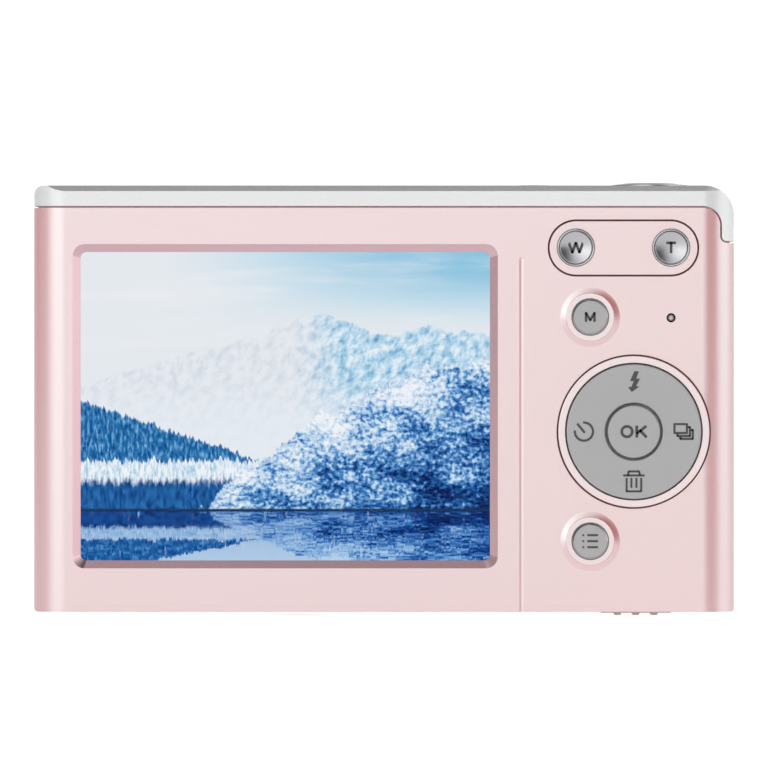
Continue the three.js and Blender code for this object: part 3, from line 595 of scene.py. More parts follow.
ZINC = Moulded("zinc", srgb(190, 192, 194), roughness=0.3, metallic=1.0, drift=0.12, grain=0.001 * MM)
GOLD = Moulded("plated_contact", srgb(214, 176, 92), roughness=0.25, metallic=1.0, drift=0.1)
PANE = Clear("window_pane", (0.985, 0.99, 1.0), ior=1.12)
OPTIC = Clear("coated_optic", (0.86, 0.93, 1.0), ior=1.6)
FROSTED = Clear("frosted_lens", (0.97, 0.97, 0.96), roughness=0.12, frost=0.02 * MM)
LENS_BLACK = Moulded("lens_black", srgb(26, 26, 28), roughness=0.36, drift=0.1, grain=0.001 * MM)
MIRROR = Moulded("mirror", srgb(232, 232, 234), roughness=0.08, metallic=1.0, drift=0.05)
LIGHT_PIPE = Moulded("light_pipe", srgb(190, 188, 190), roughness=0.25, coat=0.5, drift=0.05)


# ---- Shaping ----


@dataclass(frozen=True)
class Box:
    """The space that one node or a part of it takes."""

    low: Vector
    high: Vector

    @classmethod
    def of(cls, node: str) -> "Box":
        """The box of a node of the frame."""
        return cls(*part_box(node))

    @property
    def centre(self) -> Vector:
        """The middle of the box."""
        return (self.low + self.high) / 2

    @property
    def size(self) -> Vector:
        """The box's three sides."""
        return self.high - self.low

    def face(self, axis: "Axis") -> "Rect":
        """The box's outline along an axis, in the other two axes in X, Y, Z order."""
        kept = [number for number, letter in enumerate("XYZ") if letter != axis.name]
        return Rect(tuple(self.low[i] for i in kept), tuple(self.high[i] for i in kept))

    def span(self, axis: "Axis") -> Point:
        """Where the box starts and ends along an axis."""
        number = "XYZ".index(axis.name)
        return self.low[number], self.high[number]


@dataclass(frozen=True)
class Rect:
    """A rectangle in a plane, by its low and high corners."""

    low: Point
    high: Point

    @classmethod
    def round(cls, centre: Point, width: float, height: float) -> "Rect":
        """The rectangle with a given middle and sides."""
        (x, y), (w, h) = centre, (width / 2, height / 2)
        return cls((x - w, y - h), (x + w, y + h))

    def grown(self, by: float) -> "Rect":
        """The same rectangle with every side moved outwards."""
        return Rect((self.low[0] - by, self.low[1] - by), (self.high[0] + by, self.high[1] + by))

    @property
    def corners(self) -> list[Vector]:
        """The four corners, anticlockwise from the low one."""
        (x0, y0), (x1, y1) = self.low, self.high
        return [Vector((x0, y0)), Vector((x1, y0)), Vector((x1, y1)), Vector((x0, y1))]


class Axis(Enum):
    """The world axis that a flat outline or a turned profile stands on."""

    X = Matrix(((0, 0, 1), (1, 0, 0), (0, 1, 0))).to_4x4()
    Y = Matrix(((1, 0, 0), (0, 0, 1), (0, 1, 0))).to_4x4()
    Z = Matrix.Identity(4)


class Cut(Enum):
    """How one solid works on another."""

    TAKE = "DIFFERENCE"
    JOIN = "UNION"
    KEEP = "INTERSECT"


def add_plate(mesh: bmesh.types.BMesh, rect: Rect, radii: Sequence[float], steps: int, level: float) -> list:
    """Adds one flat face with rounded corners at a level.

    Args:
        mesh: the mesh to add to.
        rect: the outline before rounding.
        radii: the corner radii, anticlockwise from the low corner.
        steps: edges to each rounded corner.
        level: the height of the face.

    Returns:
        The edges round the face.
    """
    known = set(mesh.faces)
    made = bmesh.ops.create_grid(mesh, x_segments=1, y_segments=1, size=0.5)
    side = Vector(rect.high) - Vector(rect.low)
    middle = (Vector(rect.high) + Vector(rect.low)) / 2
    bmesh.ops.scale(mesh, vec=(side.x, side.y, 1), verts=made["verts"])
    bmesh.ops.translate(mesh, vec=(middle.x, middle.y, level), verts=made["verts"])
    for corner, radius in zip(rect.corners, radii):
        face = next(f for f in mesh.faces if f not in known)
        vert = min(face.verts, key=lambda v: (v.co.xy - corner).length)
        if radius > 0:
            bmesh.ops.bevel(
                mesh, geom=[vert], offset=radius, offset_type="OFFSET", affect="VERTICES",
                segments=steps, profile=0.5, material=-1, clamp_overlap=False,
            )
    face = next(f for f in mesh.faces if f not in known)
    bmesh.ops.remove_doubles(mesh, verts=list(face.verts), dist=1e-7)
    face = next(f for f in mesh.faces if f not in known)
    return list(face.edges)


class Solid:
    """One closed mesh being shaped, in metres in the camera's frame."""

    def __init__(self) -> None:
        """Starts with nothing."""
        self.mesh = bmesh.new()

    @classmethod
    def prism(
        cls, rect: Rect, span: Point, axis: Axis = Axis.Z, radii: object = 0.0, steps: int = 8,
    ) -> "Solid":
        """A rectangle with rounded corners, drawn out along an axis.

        Args:
            rect: the outline, in the two axes that follow in X, Y, Z order.
            span: where the solid starts and ends along the axis.
            axis: the axis.
            radii: one corner radius, or four from the low corner anticlockwise.
            steps: edges to each rounded corner.

        Returns:
            The new solid.
        """
        return cls.lofted([(rect, radii, level) for level in span], axis, steps)

    @classmethod
    def block(cls, box: Box, axis: Axis, radii: object = 0.0, steps: int = 8) -> "Solid":
        """The whole of a box, with its corners round an axis rounded as in prism."""
        return cls.prism(box.face(axis), box.span(axis), axis, radii, steps)

    @classmethod
    def lofted(cls, stages: Sequence[tuple], axis: Axis, steps: int = 8, closed: bool = False) -> "Solid":
        """A solid, or a closed ring, drawn through several rounded rectangles.

        Args:
            stages: a rectangle, its corner radius or four of them, and its level, for each stage.
            axis: the axis that the levels lie on.
            steps: edges to each rounded corner.
            closed: whether the last stage joins the first one again.

        Returns:
            The new solid.
        """
        solid = cls()
        loops = []
        for number, (rect, radii, level) in enumerate(stages):
            four = radii if isinstance(radii, (tuple, list)) else [radii] * 4
            known = set(solid.mesh.faces)
            loops.append(add_plate(solid.mesh, rect, four, steps, level))
            if closed or 0 < number < len(stages) - 1:
                plates = [face for face in solid.mesh.faces if face not in known]
                bmesh.ops.delete(solid.mesh, geom=plates, context="FACES_ONLY")
        following = loops[1:] + loops[:1] if closed else loops[1:]
        for first, second in zip(loops, following):
            bmesh.ops.bridge_loops(solid.mesh, edges=first + second)
        return solid.stood(axis)

    @classmethod
    def turned(
        cls, profile: Sequence[Point], centre: Vector, axis: Axis = Axis.Y, steps: int = 48,
    ) -> "Solid":
        """A round solid.

        Args:
            profile: pairs of a radius and a world position along the axis.
            centre: a point on the axis.
            axis: the axis.
            steps: faces round the circle.

        Returns:
            The new solid.
        """
        solid = cls()
        verts = [solid.mesh.verts.new((radius, 0, along)) for radius, along in profile]
        edges = [solid.mesh.edges.new(pair) for pair in zip(verts, verts[1:])]
        bmesh.ops.spin(
            solid.mesh, geom=verts + edges, cent=(0, 0, 0), axis=(0, 0, 1), dvec=(0, 0, 0),
            angle=FULL_TURN, steps=steps, use_merge=True, use_duplicate=False,
        )
        bmesh.ops.remove_doubles(solid.mesh, verts=solid.mesh.verts, dist=1e-8)
        across = {Axis.X: (0, 1, 1), Axis.Y: (1, 0, 1), Axis.Z: (1, 1, 0)}[axis]
        solid.stood(axis)
        return solid.moved(Vector(c * keep for c, keep in zip(centre, across)))

    @classmethod
    def groove(
        cls, rect: Rect, radius: float, width: float, level: float, depth: float, steps: int = 12,
    ) -> "Solid":
        """A cutter for a fine groove with eased lips in a face that looks along -Y.

        Args:
            rect: the middle line of the groove, in X and Z.
            radius: its corner radius.
            width: the groove's width.
            level: the face's Y.
            depth: how deep the groove is.
            steps: edges to each rounded corner.

        Returns:
            The cutter.
        """
        half, lip = width / 2, width * 0.35
        section = [
            (half + lip, level - lip), (half, level + lip * 0.2), (half * 0.7, level + depth),
            (-half * 0.7, level + depth), (-half, level + lip * 0.2), (-half, level - lip),
        ]
        return cls.lofted([(rect.grown(g), radius + g, at) for g, at in section], Axis.Y, steps, True)

    def stood(self, axis: Axis) -> "Solid":
        """Stands the solid on an axis, with every face outwards."""
        bmesh.ops.transform(self.mesh, matrix=axis.value, verts=self.mesh.verts)
        bmesh.ops.recalc_face_normals(self.mesh, faces=self.mesh.faces)
        return self

    def moved(self, by: Vector) -> "Solid":
        """Moves the solid."""
        bmesh.ops.translate(self.mesh, vec=by, verts=self.mesh.verts)
        return self

    def spun(self, angle: float, axis: str, centre: Vector) -> "Solid":
        """Turns the solid about a line through a point."""
        turn = Matrix.Rotation(angle, 3, axis)
        bmesh.ops.rotate(self.mesh, cent=centre, matrix=turn, verts=self.mesh.verts)
        return self

    def with_all(self, how: Cut, others: Iterable["Solid"]) -> "Solid":
        """Joins, cuts or trims this solid by others, one after another.

        Args:
            how: what the others do to it.
            others: the other solids.

        Returns:
            This solid.
        """
        for other in others:
            host, tool = self.shown("shaping"), other.shown("shaping_tool")
            step = host.modifiers.new("step", "BOOLEAN")
            step.operation = how.value
            step.solver = "EXACT"
            step.object = tool
            shaped = evaluated_mesh(host)
            self.mesh.clear()
            self.mesh.from_mesh(shaped)
            bmesh.ops.remove_doubles(self.mesh, verts=self.mesh.verts, dist=4e-7)
            bmesh.ops.dissolve_degenerate(self.mesh, edges=self.mesh.edges, dist=4e-7)
            bpy.data.meshes.remove(shaped)
            for spare in (host, tool):
                data = spare.data
                bpy.data.objects.remove(spare)
                bpy.data.meshes.remove(data)
        return self

    def take(self, *others: "Solid") -> "Solid":
        """Cuts others out of this solid."""
        return self.with_all(Cut.TAKE, others)

    def join(self, *others: "Solid") -> "Solid":
        """Joins others onto this solid."""
        return self.with_all(Cut.JOIN, others)

    def keep(self, *others: "Solid") -> "Solid":
        """Keeps what lies inside the others too."""
        return self.with_all(Cut.KEEP, others)

    def eased(self, width: float, where=None, steps: int = 3, least: float = 32.0) -> "Solid":
        """Rounds the sharp edges.

        Args:
            width: how far from the edge the rounding starts.
            where: says of an edge's middle point whether to round it; all edges if left out.
            steps: faces across each rounding.
            least: the smallest angle between faces that counts as sharp, in degrees.

        Returns:
            This solid.
        """
        sharp = [
            edge for edge in self.mesh.edges
            if len(edge.link_faces) == 2 and edge.calc_face_angle(0) > math.radians(least)
        ]
        chosen = [e for e in sharp if where is None or where((e.verts[0].co + e.verts[1].co) / 2)]
        bmesh.ops.bevel(
            self.mesh, geom=chosen, offset=width, offset_type="OFFSET", affect="EDGES", segments=steps,
            profile=0.5, material=-1, clamp_overlap=True, loop_slide=True,
        )
        return self

    def shown(self, name: str) -> bpy.types.Object:
        """An object of this solid's shape."""
        data = bpy.data.meshes.new(name)
        self.mesh.to_mesh(data)
        made = bpy.data.objects.new(name, data)
        bpy.context.scene.collection.objects.link(made)
        return made


def evaluated_mesh(holder: bpy.types.Object) -> bpy.types.Mesh:
    """A new mesh with the object's modifiers worked in."""
    bpy.context.view_layer.update()
    graph = bpy.context.evaluated_depsgraph_get()
    return bpy.data.meshes.new_from_object(holder.evaluated_get(graph), depsgraph=graph)


def arc(centre: Point, radius: float, start: float, end: float, steps: int = 5) -> list[Point]:
    """Points along an arc of a profile.

    Args:
        centre: the arc's centre, as a radius and a level.
        radius: the arc's radius.
        start: the first angle in degrees, from outwards towards the axis direction.
        end: the last angle in degrees.
        steps: how many stretches the arc has.

    Returns:
        The points.
    """
    angles = [math.radians(start + (end - start) * i / steps) for i in range(steps + 1)]
    return [(centre[0] + radius * math.cos(a), centre[1] + radius * math.sin(a)) for a in angles]


def dome(radius: float, foot: float, rise: float, steps: int) -> list[Point]:
    """Points of a profile that curves from a rim in to the axis.

    Args:
        radius: the rim's radius.
        foot: the rim's level.
        rise: how far the crown stands above the rim.
        steps: how many stretches the curve has.

    Returns:
        The points, from the rim to the crown.
    """
    angles = [math.pi / 2 * i / steps for i in range(steps)]
    return [*((radius * math.cos(a), foot + rise * math.sin(a)) for a in angles), (0, foot + rise)]


_MADE: dict[object, bpy.types.Material] = {}


def material_of(finish: object) -> bpy.types.Material:
    """The material of a finish, made once."""
    if finish not in _MADE:
        _MADE[finish] = finish.build()
    return _MADE[finish]


def blended_normals(mesh: bpy.types.Mesh, crease: float) -> list[Vector]:
    """Normals for smooth shading that leave every large flat face flat.

    Args:
        mesh: the finished mesh.
        crease: faces that meet at more than this angle don't blend, in degrees.

    Returns:
        One normal for each corner of each face.
    """
    limit = math.cos(math.radians(crease))
    flats = [tuple(round(c, 3) for c in face.normal) for face in mesh.polygons]
    weight: dict[tuple, float] = {}
    for key, face in zip(flats, mesh.polygons):
        weight[key] = weight.get(key, 0.0) + face.area
    around: list[list[int]] = [[] for _ in mesh.vertices]
    for face in mesh.polygons:
        for vertex in face.vertices:
            around[vertex].append(face.index)
    normals = []
    for face in mesh.polygons:
        for vertex in face.vertices:
            near = [n for n in around[vertex] if mesh.polygons[n].normal.dot(face.normal) > limit]
            total = sum((mesh.polygons[n].normal * weight[flats[n]] ** 2 for n in near), Vector())
            normals.append(total.normalized() if total.length else face.normal.copy())
    return normals


def place_piece(
    name: str,
    solid: Solid,
    body: str,
    finish: object,
    replaces: Sequence[str] = (),
    extra: Sequence[object] = (),
    crease: float = 38.0,
) -> bpy.types.Object:
    """Turns a solid into a finished piece of the camera.

    Args:
        name: the piece's name.
        solid: its shape.
        body: the body that it moves with.
        finish: its main finish.
        replaces: the frame's nodes that it stands for.
        extra: further finishes, for faces with a higher material index.
        crease: edges sharper than this angle stay sharp, in degrees.

    Returns:
        The piece.
    """
    for face in solid.mesh.faces:
        face.smooth = True
    piece = solid.shown(name)
    for one in (finish, *extra):
        piece.data.materials.append(material_of(one))
    piece.data.normals_split_custom_set(blended_normals(piece.data, crease))
    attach(piece, body)
    if replaces:
        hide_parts(*replaces)
    LOG.info("%s: %d faces on %s", name, len(piece.data.polygons), body)
    return piece


def place_turned(
    name: str,
    profile: Sequence[Point],
    box: Box,
    axis: Axis,
    steps: int,
    body: str,
    finish: object,
    node: str,
    crease: float = 38.0,
) -> None:
    """Places a round piece for one node, turned about the middle of the node's box.

    Args:
        name: the piece's name.
        profile: pairs of a radius and a world position along the axis.
        box: the node's box.
        axis: the axis.
        steps: faces round the circle.
        body: the body that it moves with.
        finish: its finish.
        node: the frame's node that it stands for.
        crease: edges sharper than this angle stay sharp, in degrees.
    """
    solid = Solid.turned(profile, box.centre, axis, steps)
    place_piece(name, solid, body, finish, [node], (), crease)


def dress(nodes: Sequence[str], finish: object) -> None:
    """Gives a finish to nodes whose own shape is already right."""
    for node in nodes:
        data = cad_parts[node].data
        data.materials.clear()
        data.materials.append(material_of(finish))
        LOG.info("%s: kept, finished as %s", node, finish.name)


# ---- Casing ----


class ShellFace(IntEnum):
    """Material indices of the rear shell's faces, in the order of its finishes."""

    BODY = 0
    RIM = 1
    RING = 2
    GROOVE = 3
    SEAM = 4
    FOOT = 5


@dataclass
class Casing:
    """The rear and front shells and the white top cover."""

    edge_radius: float = 4.5 * MM
    top_left_radius: float = 1.4 * MM
    top_right_radius: float = 4.2 * MM
    foot_radius: float = 0.6 * MM
    wall: float = 1.4 * MM
    seam: float = 0.13 * MM
    top_chamfer: float = 0.8 * MM
    wrap_width: float = 1.9 * MM
    wrap_radius: float = 2.6 * MM
    wrap_foot_radius: float = 0.8 * MM
    rim_width: float = 1.1 * MM
    groove_width: float = 0.6 * MM
    fine_line: float = 0.26 * MM
    tongue_depth: float = 0.6 * MM
    tongue_rise: float = 0.6 * MM
    round_hole: float = 2.64 * MM
    pad_hole: float = 9.63 * MM
    pad_collar: float = 10.75 * MM
    mound_crest: float = 3.3 * MM
    lens_hole: float = 14.4 * MM
    lamp_hole: float = 1.9 * MM
    sound_hole: float = 0.5 * MM
    power_hole: float = 2.8 * MM
    foot_ease: float = 0.28 * MM
    ease: float = 0.12 * MM
    play: float = 0.1 * MM
    skin: float = 0.05 * MM

    def __post_init__(self) -> None:
        """Reads the body's outside faces from the frame."""
        cover = Box.of("top_cover")
        front = Box.of("front_case")
        self.left, self.right = cover.low.x, cover.high.x
        self.rear, self.front = cover.low.y, cover.high.y
        self.base, self.top = front.low.z, cover.high.z
        self.seam_level = front.high.z + self.seam
        self.wrap_level = cover.low.z - self.seam
        self.parting = front.low.y - 0.1 * MM

    def envelope(self, inset: float = 0.0, cut: float = 0.0) -> Solid:
        """The body's outside shape, or the hollow inside it when inset.

        Args:
            inset: how far every face moves inwards.
            cut: the size of the chamfer round the rear and front faces.

        Returns:
            The solid.
        """
        radius = self.edge_radius - inset
        plan = Rect((self.left, self.rear), (self.right, self.front)).grown(-inset)
        face = Rect((self.left, self.base), (self.right, self.top)).grown(-inset)
        corners = (self.foot_radius, self.foot_radius, self.top_right_radius, self.top_left_radius)
        radii = [max(size - inset, 0.0) for size in corners]
        small = [max(size - cut, 0.0) for size in radii]
        stages = [(face, radii, self.rear + cut), (face, radii, self.front - cut)]
        if cut:
            inner = face.grown(-cut)
            stages = [(inner, small, self.rear), *stages, (inner, small, self.front)]
        body = Solid.prism(plan, (self.base + inset, self.top - inset), Axis.Z, radius, 20)
        return body.keep(Solid.lofted(stages, Axis.Y, 12))

    def cover_zone(self, grow: float) -> Solid:
        """The space above the seam and outside the wrap at the right."""
        far, through = self.right * 2, (self.rear - MM, self.front + MM)
        inner = self.right - self.wrap_width
        upper = Solid.prism(Rect((-far, self.seam_level - grow), (far, far)), through, Axis.Y)
        wrap = Solid.prism(
            Rect((inner - grow, self.wrap_level - grow), (far, far)), through, Axis.Y,
            [self.wrap_foot_radius + grow, 0, 0, 0],
        )
        corner, level = inner - self.wrap_radius, self.seam_level - self.wrap_radius
        fillet = Solid.prism(Rect((corner, level), (inner + MM, self.seam_level + MM)), through, Axis.Y)
        ends = (self.rear - 2 * MM, self.front + 2 * MM)
        fillet.take(drill(Vector((corner, 0, level)), self.wrap_radius - grow, ends, Axis.Y, 64))
        return upper.join(wrap, fillet)

    def slab(self, span: Point) -> Solid:
        """Everything between two levels along the lens axis."""
        face = Rect((self.left - MM, self.base - MM), (self.right + MM, self.top + MM))
        return Solid.prism(face, span, Axis.Y)

    def half(self, span: Point) -> Solid:
        """One of the two pink shells before its own openings are cut."""
        shell = self.envelope().keep(self.slab(span))
        sheath = self.envelope(self.tongue_depth).take(self.cover_zone(-self.tongue_rise))
        return shell.take(self.cover_zone(self.seam).take(sheath), self.envelope(self.wall))

    def lip(self, depth: float, reach: float) -> Solid:
        """What lies deeper than a depth across the parting line, where the shells lap.

        Args:
            depth: how far inside the body's outside faces it starts.
            reach: how far it goes to each side of the parting line.

        Returns:
            The solid.
        """
        across = self.slab((self.parting - reach, self.parting + reach))
        return self.envelope(depth).keep(across).take(self.cover_zone(self.seam))

    def door_openings(self) -> list[Solid]:
        """Openings that both pink shells share: the door, its hinge pin and the strap eyelet."""
        door, pin, eyelet = Box.of("battery_door"), Box.of("door_hinge_pin"), Box.of("strap_eyelet")
        plan = door.face(Axis.Z).grown(0.25 * MM)
        side = eyelet.face(Axis.X).grown(self.play)
        ends = (pin.low.y - 2 * self.play, pin.high.y + 2 * self.play)
        return [
            Solid.prism(plan, (self.base - MM, door.high.z + self.play), Axis.Z, 0.3 * MM, 4),
            drill(pin.centre, pin.size.x / 2 + self.play, ends, Axis.Y, 16),
            Solid.prism(side, (eyelet.low.x + 2 * self.play, self.right + MM), Axis.X, 0.5 * MM, 4),
        ]

    def build(self) -> None:
        """Makes the three shells."""
        self._rear()
        self._front()
        self._cover()

    def _rear(self) -> None:
        """The rear shell with its screen recess, key holes, raised rings and fine grooves."""
        rear = self.rear
        round_keys, pad = [Box.of(node) for node in ("m_button", "menu_button")], Box.of("direction_pad")
        shell = self.half((rear - MM, self.parting - 0.1 * MM))
        shell.join(self.lip(0.75 * MM, 0.6 * MM).take(self.envelope(self.wall - self.skin)))
        shell.join(*(self._mound(key.centre, Box.of("rear_case").low.y) for key in round_keys))
        shell.join(self._pad_ring(pad.centre)).take(self._pad_line(pad.centre))
        opening = Box.of("screen_window").face(Axis.Y).grown(0.15 * MM)
        usb = Box.of("usb_socket").face(Axis.X).grown(self.play)
        port = Solid.prism(usb, (self.left - MM, self.left + 2 * MM), Axis.X, 1.5 * MM, 10)
        shell.take(self._recess(opening), port, *self.door_openings(), *self._key_holes(round_keys, pad))
        shell.eased(
            self.foot_ease, lambda at: at.y < rear + self.skin and at.z < self.base + self.skin, 4,
        )
        shell.eased(self.ease, lambda at: at.y < rear + self.skin, 3)
        shell.take(self._pill_line(), self._upright_groove(opening))
        rings = [(key.centre, self.mound_crest) for key in round_keys]
        self._colour(shell, [*rings, (pad.centre, self.pad_collar)], opening.grown(self.rim_width + 0.02 * MM))
        finishes = [PINK_CUT, PINK_RING, SHADOW_LINE, SEAM_GAP_PAINTED_SHADE, FOOT_EDGE_PAINTED_SHADE]
        place_piece("rear_shell", shell, "root", PINK, ["rear_case"], finishes, 20)

    def _recess(self, opening: Rect) -> Solid:
        """The cutter of the screen's opening and the sloping rim round it."""
        floor = Box.of("screen_window").low.y
        stages = [
            (opening.grown(self.rim_width * 1.3), 1.9 * MM, self.rear - 0.3 * (floor - self.rear)),
            (opening, 0.85 * MM, floor), (opening, 0.85 * MM, self.rear + self.wall + MM),
        ]
        return Solid.lofted(stages, Axis.Y)

    def _key_holes(self, round_keys: Sequence[Box], pad: Box) -> list[Solid]:
        """The cutters of the round holes in the back."""
        rings = [Box.of(node) for node in ("w_button_ring", "t_button_ring")]
        plan = [
            *((ring.centre, ring.size.x / 2 + self.play, 48) for ring in rings),
            *((key.centre, self.round_hole, 56) for key in round_keys),
            (pad.centre, self.pad_hole, 96),
            (Box.of("indicator_light").centre, 0.65 * MM, 32),
        ]
        span = (self.rear - MM, self.rear + self.wall + MM)
        return [drill(centre, radius, span, Axis.Y, steps) for centre, radius, steps in plan]

    def _pill_line(self) -> Solid:
        """The cutter of the fine groove round the zoom keys."""
        first, second = Box.of("w_button").centre, Box.of("t_button").centre
        pill = Rect.round(((first.x + second.x) / 2, first.z - 0.05 * MM), 20.9 * MM, 7.7 * MM)
        round_end = (pill.high[1] - pill.low[1]) / 2
        return Solid.groove(pill, round_end, self.fine_line, self.rear, 0.45 * MM, 24)

    def _upright_groove(self, opening: Rect) -> Solid:
        """The cutter of the groove between the screen and the keys."""
        middle, half = opening.high[0] + 4.4 * MM, self.groove_width / 2
        slot = Rect((middle - half, self.base - 2 * MM), (middle + half, opening.high[1] - 0.7 * MM))
        stages = [
            (slot.grown(half), 1.6 * half, self.rear - 0.12 * MM),
            (slot.grown(-0.8 * half), 0.15 * half, self.rear + 0.1 * MM),
        ]
        return Solid.lofted(stages, Axis.Y)

    def _mound(self, centre: Vector, crest: float) -> Solid:
        """The soft raised disc that a round key's hole is drilled into."""
        foot, shoulder = 4.35 * MM, 3.38 * MM
        climb = 0.6 * (self.rear - crest)
        slope = [
            (foot + (shoulder - foot) * share, self.rear + 0.01 * MM - climb * share ** 1.5)
            for share in (i / 8 for i in range(9))
        ]
        below = self.rear + 0.3 * MM
        lip = arc((shoulder - 0.1 * MM, crest + 0.1 * MM), 0.1 * MM, 0, -90, 6)
        return Solid.turned([(0, below), (foot, below), *slope, *lip, (0, crest)], centre, Axis.Y, 72)

    def _pad_ring(self, centre: Vector) -> Solid:
        """The low raised disc that the direction pad's hole is drilled into."""
        crest, ease = self.rear - 0.25 * MM, 0.15 * MM
        below = self.rear + 0.3 * MM
        outer = self.pad_collar - ease
        lip = arc((outer - ease, crest + ease), ease, 0, -90, 6)
        return Solid.turned([(0, below), (outer, below), *lip, (0, crest)], centre, Axis.Y, 128)

    def _pad_line(self, centre: Vector) -> Solid:
        """The cutter of the fine groove round the pad's raised ring."""
        rear, inner = self.rear, self.pad_collar - 0.2 * MM
        outer = inner + self.fine_line * 0.85
        profile = [
            (inner, rear - 0.5 * MM), (outer + 0.6 * MM, rear - 0.2 * MM), (outer, rear + 0.02 * MM),
            (outer, rear + 0.35 * MM), (inner, rear + 0.35 * MM), (inner, rear - 0.5 * MM),
        ]
        return Solid.turned(profile, centre, Axis.Y, 128)

    def _colour(self, shell: Solid, rings: Sequence[tuple[Vector, float]], recess: Rect) -> None:
        """Gives the special faces of the rear shell their own finishes, with painted shade on the groove
        floors, in the seam gap and along the bottom edge.

        Args:
            shell: the rear shell.
            rings: the centre and radius of each raised ring, the pad's last.
            recess: the outside of the screen's sloping rim.
        """
        floor = Box.of("screen_window").low.y
        pad, collar = rings[-1]
        for face in shell.mesh.faces:
            at, normal = face.calc_center_median(), face.normal
            if at.y < self.rear - 0.02 * MM and any(off_axis(at, c) < radius for c, radius in rings):
                face.material_index = ShellFace.RING
            # Painted shade in the seam gap: the tongue faces under the cover and its wrap get the darker seam
            # finish.
            under_wrap = at.x > self.right - self.wrap_width and at.z > self.wrap_level
            if (at.z > self.seam_level or under_wrap) and at.y < self.parting:
                face.material_index = ShellFace.SEAM
            # Painted shade: the down-facing rounding of the bottom edge gets the darker foot finish.
            if at.z < self.base + 0.3 * MM and max(normal.y, normal.z) < -0.15:
                face.material_index = ShellFace.FOOT
            # Painted shade on the floors of the grooves round the zoom keys and the pad ring.
            in_groove = self.rear + 0.03 * MM < at.y < self.rear + 0.5 * MM
            near_pad = abs(off_axis(at, pad) - collar) < 0.3 * MM
            if in_groove and (near_pad or self._in_pill(at)):
                face.material_index = ShellFace.GROOVE
            inside = recess.low[0] < at.x < recess.high[0] and recess.low[1] < at.z < recess.high[1]
            if inside and 0.2 < abs(normal.y) < 0.98 and self.rear + self.skin < at.y < floor:
                face.material_index = ShellFace.RIM

    @staticmethod
    def _in_pill(at: Vector) -> bool:
        """Whether a point lies on the groove round the zoom keys."""
        first, second = Box.of("w_button").centre, Box.of("t_button").centre
        inner, outer = 3.4 * MM, 4.2 * MM
        along = min(max(at.x, first.x), second.x)
        inside = first.x - outer < at.x < second.x + outer and abs(at.z - first.z) < outer
        return inside and math.hypot(at.x - along, at.z - first.z) > inner

    def _front(self) -> None:
        """The front shell with its lens, flash, lamp, microphone, screw and tripod openings."""
        shell = self.half((self.parting + 0.1 * MM, self.front + MM)).take(self.lip(0.65 * MM, 0.75 * MM))
        through = (self.front - self.wall - MM, self.front + MM)
        round_holes = (
            ("lens_bezel", self.lens_hole, 96), ("focus_lamp", self.lamp_hole, 40),
            ("microphone", self.sound_hole, 24),
        )
        holes = [
            drill(Box.of(node).centre, radius, through, Axis.Y, steps) for node, radius, steps in round_holes
        ]
        nut, window = Box.of("tripod_nut"), Box.of("flash_window").face(Axis.Y).grown(self.play)
        nut_span = (self.base - MM, self.base + 3 * MM)
        holes.append(drill(nut.centre, nut.size.x / 2 + self.play, nut_span, Axis.Z, 40))
        holes.append(Solid.prism(window, through, Axis.Y, 1.3 * MM))
        for node, axis in Fasteners.axes.items():
            head, plane = Box.of(node), self.base if axis is Axis.Z else self.left
            seat = (plane - MM, plane + 1.9 * MM)
            holes.append(drill(head.centre, head.size.y / 2 + 2 * self.play, seat, axis, 32))
        shell.take(*self.door_openings(), *holes)
        shell.eased(self.ease, lambda at: at.y > self.front - self.skin, 3)
        place_piece("front_shell", shell, "root", PINK, ["front_case"], (), 25)

    def _cover(self) -> None:
        """The white cover: chamfered top edges and the wrap down the right side."""
        rebate = self.envelope(self.tongue_depth - self.skin)
        rebate.take(self.cover_zone(-self.tongue_rise - 0.1 * MM))
        cover = self.envelope(0.0, self.top_chamfer).keep(self.cover_zone(-self.seam))
        cover.take(self.envelope(self.wall), rebate)
        shutter, power, speaker = (Box.of(node) for node in ("shutter_collar", "power_button", "speaker"))
        span = (self.top - self.wall - MM, self.top + MM)
        holes = [
            drill(shutter.centre, shutter.size.x / 2 - 0.25 * MM, span, Axis.Z, 64),
            drill(power.centre, self.power_hole, span, Axis.Z, 48),
            drill(speaker.centre, self.sound_hole, span, Axis.Z, 20),
        ]
        for i in range(6):
            turn = FULL_TURN * i / 6
            offset = Vector((math.cos(turn), math.sin(turn), 0)) * 2.2 * MM
            holes.append(drill(speaker.centre + offset, self.sound_hole, span, Axis.Z, 20))
        cover.take(*holes)
        for face in cover.mesh.faces:
            sloped = 0.4 < abs(face.normal.y) < 0.9 and face.normal.z > 0.3
            face.material_index = int(sloped)
        place_piece("cover_shell", cover, "root", WHITE, ["top_cover"], [BRIGHT_CUT], 25)


def drill(centre: Vector, radius: float, span: Point, axis: Axis, steps: int = 32) -> Solid:
    """A round cutter.

    Args:
        centre: a point on its axis.
        radius: its radius.
        span: where it starts and ends along the axis.
        axis: the axis.
        steps: faces round it.

    Returns:
        The cutter.
    """
    low, high = span
    return Solid.turned([(0, low), (radius, low), (radius, high), (0, high)], centre, axis, steps)


def off_axis(at: Vector, centre: Vector) -> float:
    """Distance of a point from a line along Y through a centre."""
    return math.hypot(at.x - centre.x, at.z - centre.z)


# ---- Display ----


@dataclass
class Display:
    """The clear window, the lit panel under it and the parts behind."""

    corner: float = 0.7 * MM

    def build(self) -> None:
        """Makes the window and dresses the panel, backlight and frame."""
        pane = Box.of("screen_window")
        window = Solid.block(pane, Axis.Y, self.corner)
        window.eased(0.08 * MM, None, 2, 60)
        place_piece("window_pane", window, "root", PANE, ["screen_window"])
        dress(["lcd_panel"], LakePicture(tuple(pane.low), tuple(pane.high)))
        dress(["lcd_backlight"], IVORY)
        dress(["lcd_frame"], STEEL)


# ---- Legends ----

